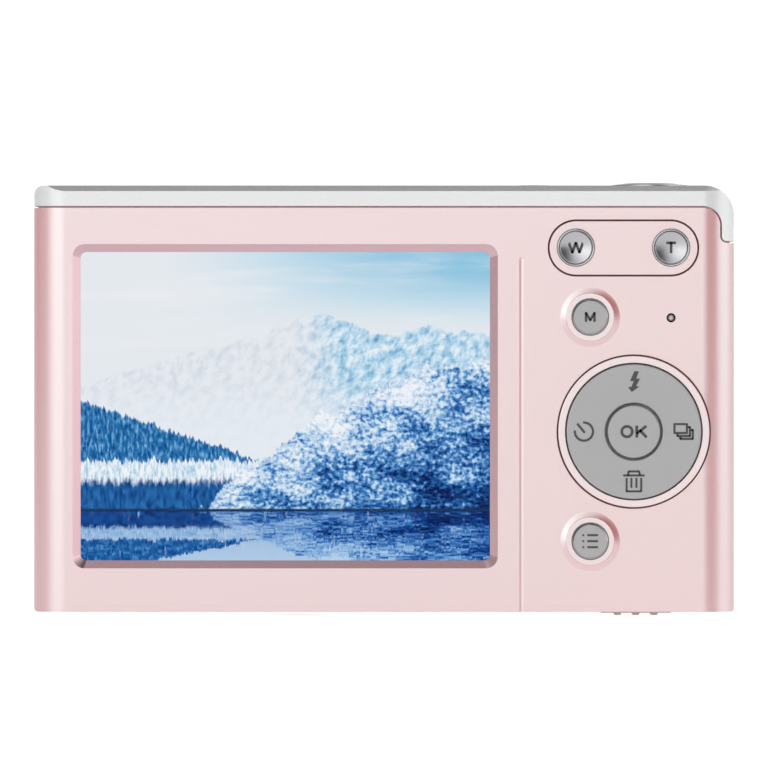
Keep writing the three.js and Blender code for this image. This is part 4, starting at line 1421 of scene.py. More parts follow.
CAPITAL_WIDTHS = {"W": 1.36, "T": 0.9, "M": 1.02, "O": 1.0, "K": 0.92}
CAPITAL_STROKES = {
    "W": [((0, 1), (0.25, 0)), ((0.25, 0), (0.5, 1)), ((0.5, 1), (0.75, 0)), ((0.75, 0), (1, 1))],
    "T": [((0, 1), (1, 1)), ((0.5, 1), (0.5, 0))],
    "M": [((0, 0), (0, 1)), ((0, 1), (0.5, 0.12)), ((0.5, 0.12), (1, 1)), ((1, 1), (1, 0))],
    "O": [],
    "K": [((0, 0), (0, 1)), ((0.06, 0.36), (0.97, 1)), ((0.36, 0.6), (1, 0))],
}


@dataclass
class Legend:
    """Printed marks that stand a hair proud of a key's face, drawn in X and Z."""

    centre: Vector
    face: float
    thickness: float = 0.03 * MM

    def plate(self, rect: Rect, radius: float = 0.0, steps: int = 4) -> Solid:
        """A filled rounded rectangle, placed from the legend's centre."""
        x, z = self.centre.x, self.centre.z
        placed = Rect((rect.low[0] + x, rect.low[1] + z), (rect.high[0] + x, rect.high[1] + z))
        span = (self.face - self.thickness, self.face + self.thickness)
        return Solid.prism(placed, span, Axis.Y, radius, steps)

    def stroke(self, start: Point, end: Point, width: float) -> Solid:
        """A straight line between two points."""
        run = Vector(end) - Vector(start)
        middle = (Vector(start) + Vector(end)) / 2
        bar = self.plate(Rect.round((middle.x, middle.y), run.length + width * 0.6, width), width * 0.3, 3)
        pivot = Vector((self.centre.x + middle.x, self.face, self.centre.z + middle.y))
        return bar.spun(-math.atan2(run.y, run.x), "Y", pivot)

    def frame(self, rect: Rect, width: float) -> Solid:
        """The outline of a rectangle."""
        return self.plate(rect, width * 0.5).take(
            Legend(self.centre, self.face, self.thickness * 3).plate(rect.grown(-width), 0.0)
        )

    def ring_part(self, radius: float, width: float, start: float, end: float) -> Solid:
        """A stretch of a ring between two angles, in degrees anticlockwise from the right."""
        solid = Solid()
        low, high = self.face - self.thickness, self.face + self.thickness
        half = width / 2
        corners = [(radius - half, low), (radius + half, low), (radius + half, high), (radius - half, high)]
        verts = [solid.mesh.verts.new((r, y, 0)) for r, y in corners]
        section = solid.mesh.faces.new(verts)
        bmesh.ops.rotate(
            solid.mesh, cent=(0, 0, 0), matrix=Matrix.Rotation(-math.radians(start), 3, "Y"), verts=verts,
        )
        solid.mesh.faces.ensure_lookup_table()
        bmesh.ops.spin(
            solid.mesh, geom=[section], cent=(0, 0, 0), axis=(0, -1, 0), dvec=(0, 0, 0),
            angle=math.radians(end - start), steps=28, use_merge=False, use_duplicate=False,
        )
        bmesh.ops.recalc_face_normals(solid.mesh, faces=solid.mesh.faces)
        return solid.moved(Vector((self.centre.x, 0, self.centre.z)))

    def word(self, text: str, height: float, weight: float) -> Solid:
        """Bold upright capitals, stroke by stroke.

        Args:
            text: the letters, out of those in the table.
            height: the height of a capital.
            weight: the width of a stroke.

        Returns:
            The solid.
        """
        gap = 0.13 * height
        widths = [CAPITAL_WIDTHS[letter] * height for letter in text]
        left = -(sum(widths) + gap * (len(text) - 1)) / 2
        parts = []
        for letter, width in zip(text, widths):
            tall = height - weight
            wide = width - weight
            start = Vector((left + weight / 2, -height / 2 + weight / 2))
            if letter == "O":
                parts.append(self.oval((left + width / 2, 0.0), width, height, weight))
            for (x0, z0), (x1, z1) in CAPITAL_STROKES[letter]:
                ends = [(start.x + x * wide, start.y + z * tall) for x, z in ((x0, z0), (x1, z1))]
                parts.append(self.stroke(*ends, weight))
            left += width + gap
        return merged(parts)

    def oval(self, centre: Point, width: float, height: float, weight: float) -> Solid:
        """An upright oval ring."""
        outside = Rect.round(centre, width, height)
        inner = width / 2 - weight
        hole = Legend(self.centre, self.face, self.thickness * 3).plate(outside.grown(-weight), inner, 10)
        return self.plate(outside, width / 2, 12).take(hole)


def merged(solids: Sequence[Solid]) -> Solid:
    """One mesh that holds several separate solids."""
    whole = Solid()
    for solid in solids:
        data = bpy.data.meshes.new("part")
        solid.mesh.to_mesh(data)
        whole.mesh.from_mesh(data)
        bpy.data.meshes.remove(data)
    return whole


# ---- Keys on the back ----


@dataclass(frozen=True)
class KeyFoot:
    """The hidden foot of a small round key: a skirt, a flange and a stem."""

    rise: float = 1.05 * MM
    flange: float = 0.45 * MM
    thickness: float = 0.5 * MM
    stem: float = 1.2 * MM

    def profile(self, radius: float, back: float) -> list[Point]:
        """The foot's outline, from the key's side to the axis.

        Args:
            radius: the key's radius.
            back: the level where the stem ends.

        Returns:
            The points.
        """
        skirt, wide = back - self.rise, radius + self.flange
        return [
            (radius, skirt), (wide, skirt), (wide, skirt + self.thickness),
            (self.stem, skirt + self.thickness), (self.stem, back), (0, back),
        ]


@dataclass
class ZoomKeys:
    """The W and T keys: dished metal caps in bright rings."""

    radius: float = 2.25 * MM
    lip: float = 0.2 * MM
    dish: float = 0.3 * MM
    ring_wall: float = 0.225 * MM

    def build(self) -> None:
        """Makes both keys, their rings and their letters."""
        for letter in "wt":
            cap, ring = Box.of(f"{letter}_button"), Box.of(f"{letter}_button_ring")
            self._cap(letter, cap)
            self._ring(letter, ring)

    def _cap(self, letter: str, cap: Box) -> None:
        """One dished cap with its letter."""
        radius, face = self.radius, cap.low.y
        edge = radius - self.lip
        dished = [
            (edge * share, face + 0.03 * MM + self.dish * (1 - share ** 2))
            for share in (i / 12 for i in range(13))
        ]
        lip = arc((radius - 0.1 * MM, face + 0.1 * MM), 0.1 * MM, -90, 0, 4)
        profile = [*dished, *lip, *KeyFoot().profile(radius, cap.high.y)]
        metal = Turned(f"zoom_cap_{letter}", srgb(176, 176, 178), tuple(cap.centre), roughness=0.3)
        body = f"{letter}_key"
        place_turned(
            f"{letter}_cap", profile, cap, Axis.Y, 72, body, metal, f"{letter}_button",
        )
        legend = Legend(cap.centre, face + self.dish - 0.02 * MM, 0.05 * MM)
        word = legend.word(letter.upper(), 1.72 * MM, 0.38 * MM)
        place_piece(f"{letter}_legend", word, body, PRINT)

    def _ring(self, letter: str, ring: Box) -> None:
        """One bright ring with a rounded top."""
        outer, inner = ring.size.x / 2, ring.size.x / 2 - self.ring_wall
        half = (outer - inner) / 2
        crown = arc(((outer + inner) / 2, ring.low.y + half), half, 0, -180, 8)
        profile = [*crown, (inner, ring.high.y), (outer, ring.high.y), crown[0]]
        metal = Turned(f"zoom_ring_{letter}", srgb(186, 184, 186), tuple(ring.centre), roughness=0.2)
        place_turned(
            f"{letter}_ring", profile, ring, Axis.Y, 72, "root", metal, f"{letter}_button_ring",
        )


@dataclass
class RoundKeys:
    """The M key and the menu key: flat grey caps with a turned edge."""

    radius: float = 2.5 * MM
    edge: float = 0.22 * MM

    def build(self) -> None:
        """Makes both keys and their marks."""
        for name in ("m", "menu"):
            key = Box.of(f"{name}_button")
            self._cap(name, key)
            legend = Legend(key.centre, key.low.y)
            marks = legend.word("M", 1.5 * MM, 0.34 * MM) if name == "m" else self._list_mark(legend)
            place_piece(f"{name}_legend", marks, f"{name}_key", PRINT)

    def _cap(self, name: str, key: Box) -> None:
        """One cap."""
        face, crest = key.low.y, self.radius - self.edge
        foot = KeyFoot().profile(self.radius, key.high.y)
        rounded = arc((crest - 0.05 * MM, face + 0.05 * MM), 0.05 * MM, -90, -50, 2)
        profile = [
            (0, face), *rounded, (self.radius - 0.03 * MM, face + self.edge * 0.9),
            (self.radius, face + self.edge), *foot,
        ]
        solid = Solid.turned(profile, key.centre, Axis.Y, 72)
        for part in solid.mesh.faces:
            at = part.calc_center_median()
            part.material_index = int(off_axis(at, key.centre) > crest and at.y < foot[0][1])
        edge = Turned(f"{name}_edge", srgb(150, 149, 150), tuple(key.centre), roughness=0.25)
        place_piece(
            f"{name}_cap", solid, f"{name}_key", KEY_GREY, [f"{name}_button"], [edge], 30,
        )

    @staticmethod
    def _list_mark(legend: Legend) -> Solid:
        """Three dots, each with a dash beside it."""
        marks = []
        for row in (-1, 0, 1):
            z = row * 0.84 * MM
            marks.append(legend.plate(Rect.round((-0.97 * MM, z), 0.3 * MM, 0.3 * MM), 0.14 * MM))
            marks.append(legend.plate(Rect.round((0.34 * MM, z), 1.5 * MM, 0.3 * MM), 0.06 * MM))
        return merged(marks)


@dataclass
class PadCluster:
    """The rocking four-way pad, the OK key in its middle and their marks."""

    reach: float = 6.98 * MM
    outer: float = 9.4 * MM
    inner: float = 4.0 * MM
    flange: float = 0.5 * MM
    key_radius: float = 3.66 * MM

    def build(self) -> None:
        """Makes the pad, the OK key and the marks."""
        pad, key = Box.of("direction_pad"), Box.of("ok_button")
        self._pad(pad)
        self._key(key)
        dress(["pad_gimbal"], BLACK)

    def _pad(self, pad: Box) -> None:
        """The pad's disc with its four marks."""
        face, outer, inner = pad.low.y, self.outer, self.inner
        ease, well = 0.18 * MM, 5.3 * MM
        flange, roof, back = face + 2.25 * MM, face + 1.4 * MM, pad.high.y
        profile = [
            *arc((inner + ease, face + ease), ease, 180, 270, 4),
            *arc((outer - ease, face + ease), ease, -90, 0, 4),
            (outer, flange), (outer + self.flange, flange), (outer + self.flange, back), (well, back),
            (well, roof), (inner, roof), (inner, face + ease),
        ]
        place_turned("pad_disc", profile, pad, Axis.Y, 128, "pad", KEY_GREY, "direction_pad", 35)
        up, right = Vector((0, 0, self.reach)), Vector((self.reach, 0, 0))
        centre = pad.centre
        marks = {
            "flash_mark": self._bolt(Legend(centre + up, face)),
            "timer_mark": self._timer(Legend(centre - right, face)),
            "burst_mark": self._burst(Legend(centre + right, face)),
            "bin_mark": self._bin(Legend(centre - up, face)),
        }
        for name, solid in marks.items():
            place_piece(name, solid, "pad", PRINT)

    def _key(self, key: Box) -> None:
        """The OK key."""
        face, radius, stem = key.low.y, self.key_radius, 1.6 * MM
        ease, flange, wide = 0.2 * MM, face + 2.2 * MM, radius + 0.9 * MM
        under = flange + 0.4 * MM
        profile = [
            (0, face), *arc((radius - ease, face + ease), ease, -90, 0, 5), (radius, flange),
            (wide, flange), (wide, under), (stem, under), (stem, key.high.y), (0, key.high.y),
        ]
        place_turned("ok_cap", profile, key, Axis.Y, 96, "ok_key", KEY_GREY, "ok_button", 35)
        word = Legend(key.centre, face).word("OK", 1.85 * MM, 0.4 * MM)
        place_piece("ok_legend", word, "ok_key", PRINT)

    @staticmethod
    def _bolt(legend: Legend) -> Solid:
        """A lightning bolt that ends in an arrow tip."""
        outline = [
            (0.70, 1.45), (0.05, 1.45), (-0.54, 0.08), (-0.02, 0.08), (-0.34, -0.70), (-0.82, -0.78),
            (-0.30, -1.45), (0.75, -0.70), (0.30, -0.62), (0.86, 0.42), (0.33, 0.42),
        ]
        solid = Solid()
        verts = [solid.mesh.verts.new((x * MM, z * MM, -legend.thickness)) for x, z in outline]
        made = bmesh.ops.extrude_face_region(solid.mesh, geom=[solid.mesh.faces.new(verts)])
        lifted = [part for part in made["geom"] if isinstance(part, bmesh.types.BMVert)]
        bmesh.ops.translate(solid.mesh, vec=(0, 0, 2 * legend.thickness), verts=lifted)
        solid.stood(Axis.Y)
        return solid.moved(Vector((legend.centre.x, legend.face, legend.centre.z)))

    @staticmethod
    def _timer(legend: Legend) -> Solid:
        """A clock ring, open at the upper left, with one hand."""
        width = 0.33 * MM
        ring = legend.ring_part(1.27 * MM, width, -187, 95)
        hand = legend.stroke((-0.88 * MM, 1.05 * MM), (0.06 * MM, -0.1 * MM), width)
        return merged([ring, hand])

    @staticmethod
    def _burst(legend: Legend) -> Solid:
        """Three stacked picture frames."""
        width = 0.31 * MM
        first = Rect((-1.47 * MM, -0.35 * MM), (0.58 * MM, 1.2 * MM))
        marks = [legend.frame(first, width)]
        ease = width / 2
        for shift in (0.42 * MM, 0.82 * MM):
            left, low = first.low[0] + shift + ease, first.low[1] - shift + ease
            right, high = first.high[0] + shift - ease, first.high[1] - shift - ease
            lines = (
                ((left, low), (right, low)), ((right, low), (right, high)),
                ((right, high), (right - 0.24 * MM, high)), ((left, low), (left, low + 0.24 * MM)),
            )
            marks += [legend.stroke(start, end, width) for start, end in lines]
        return merged(marks)

    @staticmethod
    def _bin(legend: Legend) -> Solid:
        """A waste bin with its lid and two ribs."""
        width = 0.29 * MM
        lid, handle, rim, floor = 0.86 * MM, 1.42 * MM, 0.44 * MM, -1.36 * MM
        marks = [
            legend.stroke((-1.42 * MM, lid), (1.42 * MM, lid), width),
            legend.stroke((-0.7 * MM, handle), (0.7 * MM, handle), width),
            legend.stroke((-1.0 * MM, floor), (1.0 * MM, floor), width),
        ]
        for side in (-1, 1):
            marks += [
                legend.stroke((side * 0.72 * MM, handle), (side * 0.84 * MM, lid), width),
                legend.stroke((side * 1.02 * MM, rim), (side * 1.02 * MM, floor), width),
                legend.stroke((side * 0.35 * MM, rim), (side * 0.35 * MM, -0.8 * MM), width),
            ]
        return merged(marks)


@dataclass
class Indicator:
    """The small working light and its LED."""

    def build(self) -> None:
        """Makes the light pipe with a domed end."""
        pipe = Box.of("indicator_light")
        radius = pipe.size.x / 2
        profile = [
            *arc((0, pipe.low.y + radius * 0.8), radius * 0.8, -90, -40, 6),
            (radius, pipe.low.y + 0.4 * MM), (radius, pipe.high.y), (0, pipe.high.y),
        ]
        place_turned(
            "indicator_lens", profile, pipe, Axis.Y, 32, "root", LIGHT_PIPE, "indicator_light",
        )
        dress(["indicator_led"], IVORY)


# ---- Lens, flash and lamp ----


@dataclass
class LensGroup:
    """The fixed lens front with its rings and glasses."""

    flange: float = 2.0 * MM
    ring_pitch: float = 0.36 * MM
    ring_depth: float = 0.09 * MM
    throat: float = 13.2 * MM
    neck: float = 14.2 * MM

    def __post_init__(self) -> None:
        """Reads the lens axis and its front end from the frame."""
        bezel = Box.of("lens_bezel")
        self.centre, self.tip = bezel.centre, bezel.high.y

    def build(self) -> None:
        """Makes the bezel, the stepped ring, the barrel and the glasses."""
        self._bezel(Box.of("lens_bezel"))
        self._ring(Box.of("lens_ring"))
        self._glasses()
        dress(["focus_barrel"], LENS_BLACK)
        dress(["rear_lens"], OPTIC)

    def _turn(
        self, name: str, profile: Sequence[Point], body: str, finish: object, node: str,
    ) -> None:
        """Places one round piece on the lens axis, for one node."""
        solid = Solid.turned(profile, self.centre, Axis.Y, 112)
        place_piece(name, solid, body, finish, [node], (), 30)

    def _bezel(self, bezel: Box) -> None:
        """The bright outer ring, grooved round its side."""
        foot, tip, wide = bezel.low.y + self.flange + 0.02 * MM, self.tip, bezel.size.x / 2
        side = [(wide, foot), (wide, foot + 0.35 * MM)]
        for step in range(3):
            at = foot + (0.45 + 0.4 * step) * MM
            crest, inner = wide - 0.02 * MM, wide - 0.14 * MM
            side += [(crest, at), (inner, at + 0.08 * MM), (inner, at + 0.16 * MM), (crest, at + 0.24 * MM)]
        crown = arc((wide - 0.95 * MM, tip - 0.85 * MM), 0.85 * MM, 5, 90, 7)
        lip = arc((wide - 2.3 * MM, tip - 0.12 * MM), 0.12 * MM, 90, 140, 3)
        throat = self.throat
        profile = [
            (throat, bezel.low.y), (self.neck, bezel.low.y), (self.neck, foot), *side, *crown, *lip,
            (throat + 0.1 * MM, tip - 1.05 * MM), (throat, tip - 1.15 * MM), (throat, bezel.low.y),
        ]
        metal = Turned("bezel_metal", srgb(206, 206, 208), tuple(self.centre), roughness=0.18)
        self._turn("lens_bezel_ring", profile, "root", metal, "lens_bezel")

    def _ring(self, ring: Box) -> None:
        """The black funnel, ribbed against stray light."""
        back, tip = ring.low.y, self.tip
        slope = [(13.0, 1.2), (12.2, 1.2), (11.6, 1.9), (10.0, 1.9), (9.4, 2.5), (8.0, 2.5), (7.4, 2.9)]
        profile = [(7.4 * MM, back), (13.0 * MM, back)]
        for (r0, d0), (r1, d1) in zip(slope, slope[1:]):
            ribs = max(1, round((r0 - r1) * MM / self.ring_pitch))
            inward = (r0 - r1) / ribs * 0.35
            for share in (i / ribs for i in range(ribs)):
                radius, depth = r0 + (r1 - r0) * share, d0 + (d1 - d0) * share
                profile.append((radius * MM, tip - depth * MM))
                profile.append(((radius - inward) * MM, tip - depth * MM - self.ring_depth))
        profile += [(7.4 * MM, tip - 2.9 * MM), (7.4 * MM, back)]
        self._turn("lens_funnel", profile, "root", LENS_BLACK, "lens_ring")

    def _glasses(self) -> None:
        """The cover glass, the ribbed barrel and the first lens."""
        cover, barrel, lens = Box.of("lens_cover_glass"), Box.of("lens_barrel"), Box.of("front_lens")
        wide, ease = cover.size.x / 2, 0.12 * MM
        low, high = cover.span(Axis.Y)
        pane = [
            (0, low), (wide - ease, low), (wide, low + ease),
            (wide, high - ease), (wide - ease, high), (0, high),
        ]
        self._turn("cover_glass", pane, "root", OPTIC, "lens_cover_glass")
        outer, inner, ribs = barrel.size.x / 2, 6.9 * MM, 12
        low, high = barrel.span(Axis.Y)
        levels = [high - (barrel.size.y - 0.4 * MM) * i / ribs for i in range(ribs)]
        teeth = [point for at in levels for point in ((inner, at), (inner + 0.15 * MM, at - 0.1 * MM))]
        profile = [(outer, low), (outer, high), *teeth, (inner, low), (outer, low)]
        self._turn("barrel_ribbed", profile, "root", LENS_BLACK, "lens_barrel")
        rim, back, edge = lens.size.x / 2, lens.low.y, 0.4 * MM
        crown = dome(rim, back + edge, lens.size.y - edge, 12)
        self._turn("first_lens", [(0, back), (rim, back), *crown], "focus", OPTIC, "front_lens")


@dataclass
class FrontLights:
    """The flash, the self-timer lamp and the microphone."""

    rib_pitch: float = 0.5 * MM

    def build(self) -> None:
        """Makes the ribbed flash window, its tube and the domed lamp."""
        window = Box.of("flash_window")
        outline = window.face(Axis.Y)
        pane = Solid.block(window, Axis.Y, 1.2 * MM)
        pane.eased(0.1 * MM, lambda at: at.y > window.high.y - 0.02 * MM, 2, 60)
        ribs = int(outline.grown(-0.5 * MM).high[1] / self.rib_pitch) - int(outline.low[1] / self.rib_pitch)
        for i in range(1, ribs):
            level = window.low.z + i * self.rib_pitch
            strip = Rect((window.low.x - MM, level - 0.12 * MM), (window.high.x + MM, level + 0.12 * MM))
            pane.take(Solid.prism(strip, (window.low.y - MM, window.low.y + 0.3 * MM), Axis.Y))
        place_piece("flash_pane", pane, "root", FROSTED, ["flash_window"])
        self._tube(window)
        lamp = Box.of("focus_lamp")
        wide, neck, rise = lamp.size.x / 2, 1.8 * MM, 0.25 * MM
        step = lamp.low.y + 0.9 * MM
        crown = dome(neck, lamp.high.y - rise, rise, 8)
        profile = [(0, lamp.low.y), (wide, lamp.low.y), (wide, step), (neck, step), *crown]
        place_turned("timer_lamp", profile, lamp, Axis.Y, 56, "root", FROSTED, "focus_lamp")
        dress(["flash_reflector"], MIRROR)
        dress(["microphone"], BLACK)

    def _tube(self, window: Box) -> None:
        """The flash tube with its metal caps, in the reflector's trough."""
        reflector = Box.of("flash_reflector")
        centre = Vector((0, reflector.low.y + 1.5 * MM, window.centre.z))
        start, end, radius = window.low.x + 0.9 * MM, window.high.x - 0.9 * MM, 0.7 * MM
        cap = 1.1 * MM
        tip, waist = radius * 0.8, radius * 0.92
        profile = [
            (0, start), (tip, start), (radius, start + 0.2 * MM), (radius, start + cap), (waist, start + cap),
            (waist, end - cap), (radius, end - cap), (radius, end - 0.2 * MM), (tip, end), (0, end),
        ]
        tube = Solid.turned(profile, centre, Axis.X, 28)
        for face in tube.mesh.faces:
            at = face.calc_center_median().x
            face.material_index = int(at < start + cap or at > end - cap)
        place_piece("flash_tube", tube, "root", IVORY, (), [ZINC])


# ---- Keys on the top ----


@dataclass
class TopKeys:
    """The shutter release, its collar, the power key and the speaker."""

    wire: float = 0.2 * MM
    turns: int = 4
    travel: float = 0.8 * MM

    def build(self) -> None:
        """Makes the keys and dresses what lies under them."""
        self._shutter(Box.of("shutter_button"))
        self._collar(Box.of("shutter_collar"))
        self._power(Box.of("power_button"))
        self._spring(Box.of("shutter_spring"))
        dress(["shutter_switch", "power_switch", "speaker"], BLACK)

    def _shutter(self, key: Box) -> None:
        """The dished shutter button."""
        top, radius, flange = key.high.z, 4.4 * MM, key.size.x / 2
        under = top - 1.96 * MM
        dish = [(3.1 * MM * i / 8, top - 0.05 * MM - 0.09 * MM * (1 - (i / 8) ** 2)) for i in range(9)]
        rim = [
            (3.3 * MM, top), (3.7 * MM, top - 0.05 * MM), (4.05 * MM, top - 0.18 * MM),
            (4.3 * MM, top - 0.36 * MM), (radius, top - 0.6 * MM),
        ]
        profile = [
            *dish, *rim, (radius, under), (flange, under), (flange, under - 0.6 * MM), (MM, under - 0.6 * MM),
            (MM, key.low.z), (0, key.low.z),
        ]
        metal = Turned("shutter_metal", srgb(214, 214, 216), tuple(key.centre), "Z", roughness=0.2)
        place_turned(
            "shutter_cap", profile, key, Axis.Z, 96, "shutter", metal, "shutter_button",
        )

    def _collar(self, collar: Box) -> None:
        """The bright collar round the shutter button."""
        top, face, foot = collar.high.z, collar.high.z - 0.22 * MM, collar.low.z
        outer, inner = collar.size.x / 2, 4.6 * MM
        crown = arc((outer - 0.22 * MM, face), 0.22 * MM, 0, 90, 5)
        edge = arc((inner + 0.12 * MM, top - 0.12 * MM), 0.12 * MM, 90, 180, 4)
        profile = [
            (inner, foot), (5.1 * MM, foot), (5.1 * MM, face), *crown, *edge, (inner, foot),
        ]
        metal = Turned("collar_metal", srgb(222, 222, 224), tuple(collar.centre), "Z", roughness=0.14)
        place_turned(
            "shutter_ring", profile, collar, Axis.Z, 96, "root", metal, "shutter_collar",
        )

    def _spring(self, box: Box) -> None:
        """The return spring: a coil of round wire wound up through its box."""
        coil = Solid()
        steps = self.turns * 28
        start = box.centre + Vector((box.size.x / 2 - self.wire, 0, self.wire - box.size.z / 2))
        bmesh.ops.create_circle(
            coil.mesh, segments=10, radius=self.wire,
            matrix=Matrix.Translation(start) @ Matrix.Rotation(math.pi / 2, 4, "X"),
        )
        bmesh.ops.spin(
            coil.mesh, geom=coil.mesh.edges[:], cent=box.centre, axis=(0, 0, 1), angle=FULL_TURN * self.turns,
            dvec=(0, 0, (box.size.z - 2 * self.wire) / steps), steps=steps, use_duplicate=False,
        )
        bmesh.ops.holes_fill(coil.mesh, edges=[edge for edge in coil.mesh.edges if edge.is_boundary], sides=0)
        bmesh.ops.recalc_face_normals(coil.mesh, faces=coil.mesh.faces[:])
        piece = place_piece("release_spring", coil, "root", ZINC, ["shutter_spring"])
        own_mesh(piece)

    def _power(self, key: Box) -> None:
        """The small power key with a ring groove."""
        top, radius, flange = key.high.z, 2.6 * MM, key.size.x / 2
        under = top - 1.85 * MM
        profile = [
            (0, top - 0.04 * MM), (1.2 * MM, top), (1.5 * MM, top), (1.56 * MM, top - 0.08 * MM),
            (1.7 * MM, top - 0.08 * MM), (1.76 * MM, top), (2.25 * MM, top - 0.03 * MM),
            *arc((radius - 0.2 * MM, top - 0.24 * MM), 0.2 * MM, 80, 0, 4), (radius, under), (flange, under),
            (flange, under - 0.5 * MM), (MM, under - 0.5 * MM), (MM, key.low.z), (0, key.low.z),
        ]
        metal = Turned("power_metal", srgb(206, 206, 208), tuple(key.centre), "Z", roughness=0.22)
        place_turned("power_cap", profile, key, Axis.Z, 72, "power", metal, "power_button")


# ---- Underside, sides and fasteners ----


@dataclass
class BatteryDoor:
    """The hinged door under the battery, with its sliding latch."""

    travel: float = 2.0 * MM
    proud: float = 0.25 * MM
    plate_width: float = 10.0 * MM
    ridge_pitch: float = 2.55 * MM
    ridge_half: float = 0.55 * MM

    def build(self) -> None:
        """Makes the door and the latch, and dresses what lies behind them."""
        door, latch = Box.of("battery_door"), Box.of("door_latch")
        plate = self._plate_box(latch)
        self._door(door, plate)
        self._latch(latch, plate, door)
        dress(["door_hinge_pin", "card_slot"], STEEL)
        dress(["battery_bay", "battery_catch", "memory_card"], BLACK)
        dress(["battery"], WRAP)
        dress(["battery_contacts"], GOLD)

    def _plate_box(self, latch: Box) -> Rect:
        """The latch's thumb plate, seen from below: all of it but the keeper at the right."""
        return Rect((latch.low.x, latch.low.y), (latch.low.x + self.plate_width, latch.high.y))

    def _door(self, door: Box, plate: Rect) -> None:
        """The door with rounded edges, a hinge bore and the latch's pocket."""
        thick = door.size.z
        leaf = Solid.block(door, Axis.Y, [thick / 2, 0.3 * MM, 0.0, thick / 2])
        leaf.eased(0.15 * MM, lambda at: min(at.y - door.low.y, door.high.y - at.y) < 0.01 * MM, 3, 50)
        pin = Box.of("door_hinge_pin")
        gap = 0.2 * MM
        pocket = Rect(
            (plate.low[0] - self.travel - gap, plate.low[1] - gap), (plate.high[0] + gap, plate.high[1] + gap),
        )
        slot = Rect(
            (plate.low[0] + 3 * MM - self.travel - gap, plate.low[1] + 1.9 * MM),
            (plate.high[0] - 3 * MM + gap, plate.low[1] + 4.1 * MM),
        )
        leaf.take(
            drill(pin.centre, pin.size.x / 2 + 0.1 * MM, (door.low.y - MM, door.high.y + MM), Axis.Y, 20),
            Solid.prism(pocket, (door.low.z - MM, door.low.z + 2 * self.proud), Axis.Z, 0.7 * MM, 5),
            Solid.prism(slot, (door.low.z - MM, door.high.z + MM), Axis.Z, 0.3 * MM, 3),
        )
        place_piece("door_leaf", leaf, "door", PINK, ["battery_door"], (), 30)

    def _latch(self, latch: Box, plate: Rect, door: Box) -> None:
        """The latch: a ribbed thumb plate, a neck through the door and the keeper."""
        low = door.low.z - self.proud
        whole = Solid.prism(plate, (low, door.low.z + 0.35 * MM), Axis.Z, 0.6 * MM, 6)
        whole.eased(0.1 * MM, lambda at: at.z < low + 0.01 * MM, 2, 50)
        middle = (plate.low[0] + plate.high[0]) / 2
        y0, y1 = plate.low[1], plate.high[1]
        neck = Rect((plate.low[0] + 3 * MM, y0 + 2.1 * MM), (plate.high[0] - 3 * MM, y0 + 3.9 * MM))
        keeper = Rect((plate.low[0] + 1.2 * MM, y0 + MM), (latch.high.x, y0 + 5.0 * MM))
        whole.join(
            Solid.prism(neck, (door.low.z + 0.2 * MM, latch.high.z - 0.3 * MM), Axis.Z, 0.2 * MM, 3),
            Solid.prism(keeper, (latch.high.z - 0.55 * MM, latch.high.z), Axis.Z, 0.25 * MM, 3),
        )
        ease = 0.28 * MM
        for at in (middle - self.ridge_pitch, middle, middle + self.ridge_pitch):
            ridge = Rect((at - self.ridge_half, latch.low.z), (at + self.ridge_half, low + 0.1 * MM))
            whole.join(Solid.prism(ridge, (y0 + 0.5 * MM, y1 - 0.5 * MM), Axis.Y, [ease, ease, 0, 0], 4))
        place_piece("latch_slider", whole, "latch", LATCH_GREY, ["door_latch"], (), 30)


@dataclass
class Fasteners:
    """Case screws with a cross recess."""

    axes = {
        "bottom_screw_left": Axis.Z, "bottom_screw_right": Axis.Z,
        "side_screw_lower": Axis.X, "side_screw_upper": Axis.X,
    }
    head_height: float = 0.8 * MM
    recess: float = 0.42 * MM
    shank: float = 0.75 * MM
    pitch: float = 0.5 * MM
    crown: float = 0.22 * MM

    def build(self) -> None:
        """Makes the four screws."""
        for node, axis in self.axes.items():
            box = Box.of(node)
            start, end = box.span(axis)
            radius, shank, neck = box.size.y / 2, self.shank, start + self.head_height
            levels = (neck + self.pitch * turn for turn in count(1))
            thread = []
            for at in takewhile(lambda level: level < end - 0.4 * MM, levels):
                thread += [(shank - 0.16 * MM, at - 0.2 * MM), (shank, at)]
            crown = arc((radius - self.crown, start + self.crown), self.crown, -90, 0, 4)
            profile = [(0, start), *crown, (radius, neck), (shank, neck), *thread, (0, end)]
            screw = Solid.turned(profile, box.centre, axis, 32)
            middle = tuple(box.centre.xy if axis is Axis.Z else box.centre.yz)
            for wide, tall in ((1.0 * MM, 0.2 * MM), (0.2 * MM, 1.0 * MM)):
                cross = Rect.round(middle, 2 * wide, 2 * tall)
                screw.take(Solid.prism(cross, (start - MM, start + self.recess), axis, 0.08 * MM, 3))
            place_piece(node.replace("screw", "cross_screw"), screw, "root", ZINC, [node], (), 30)


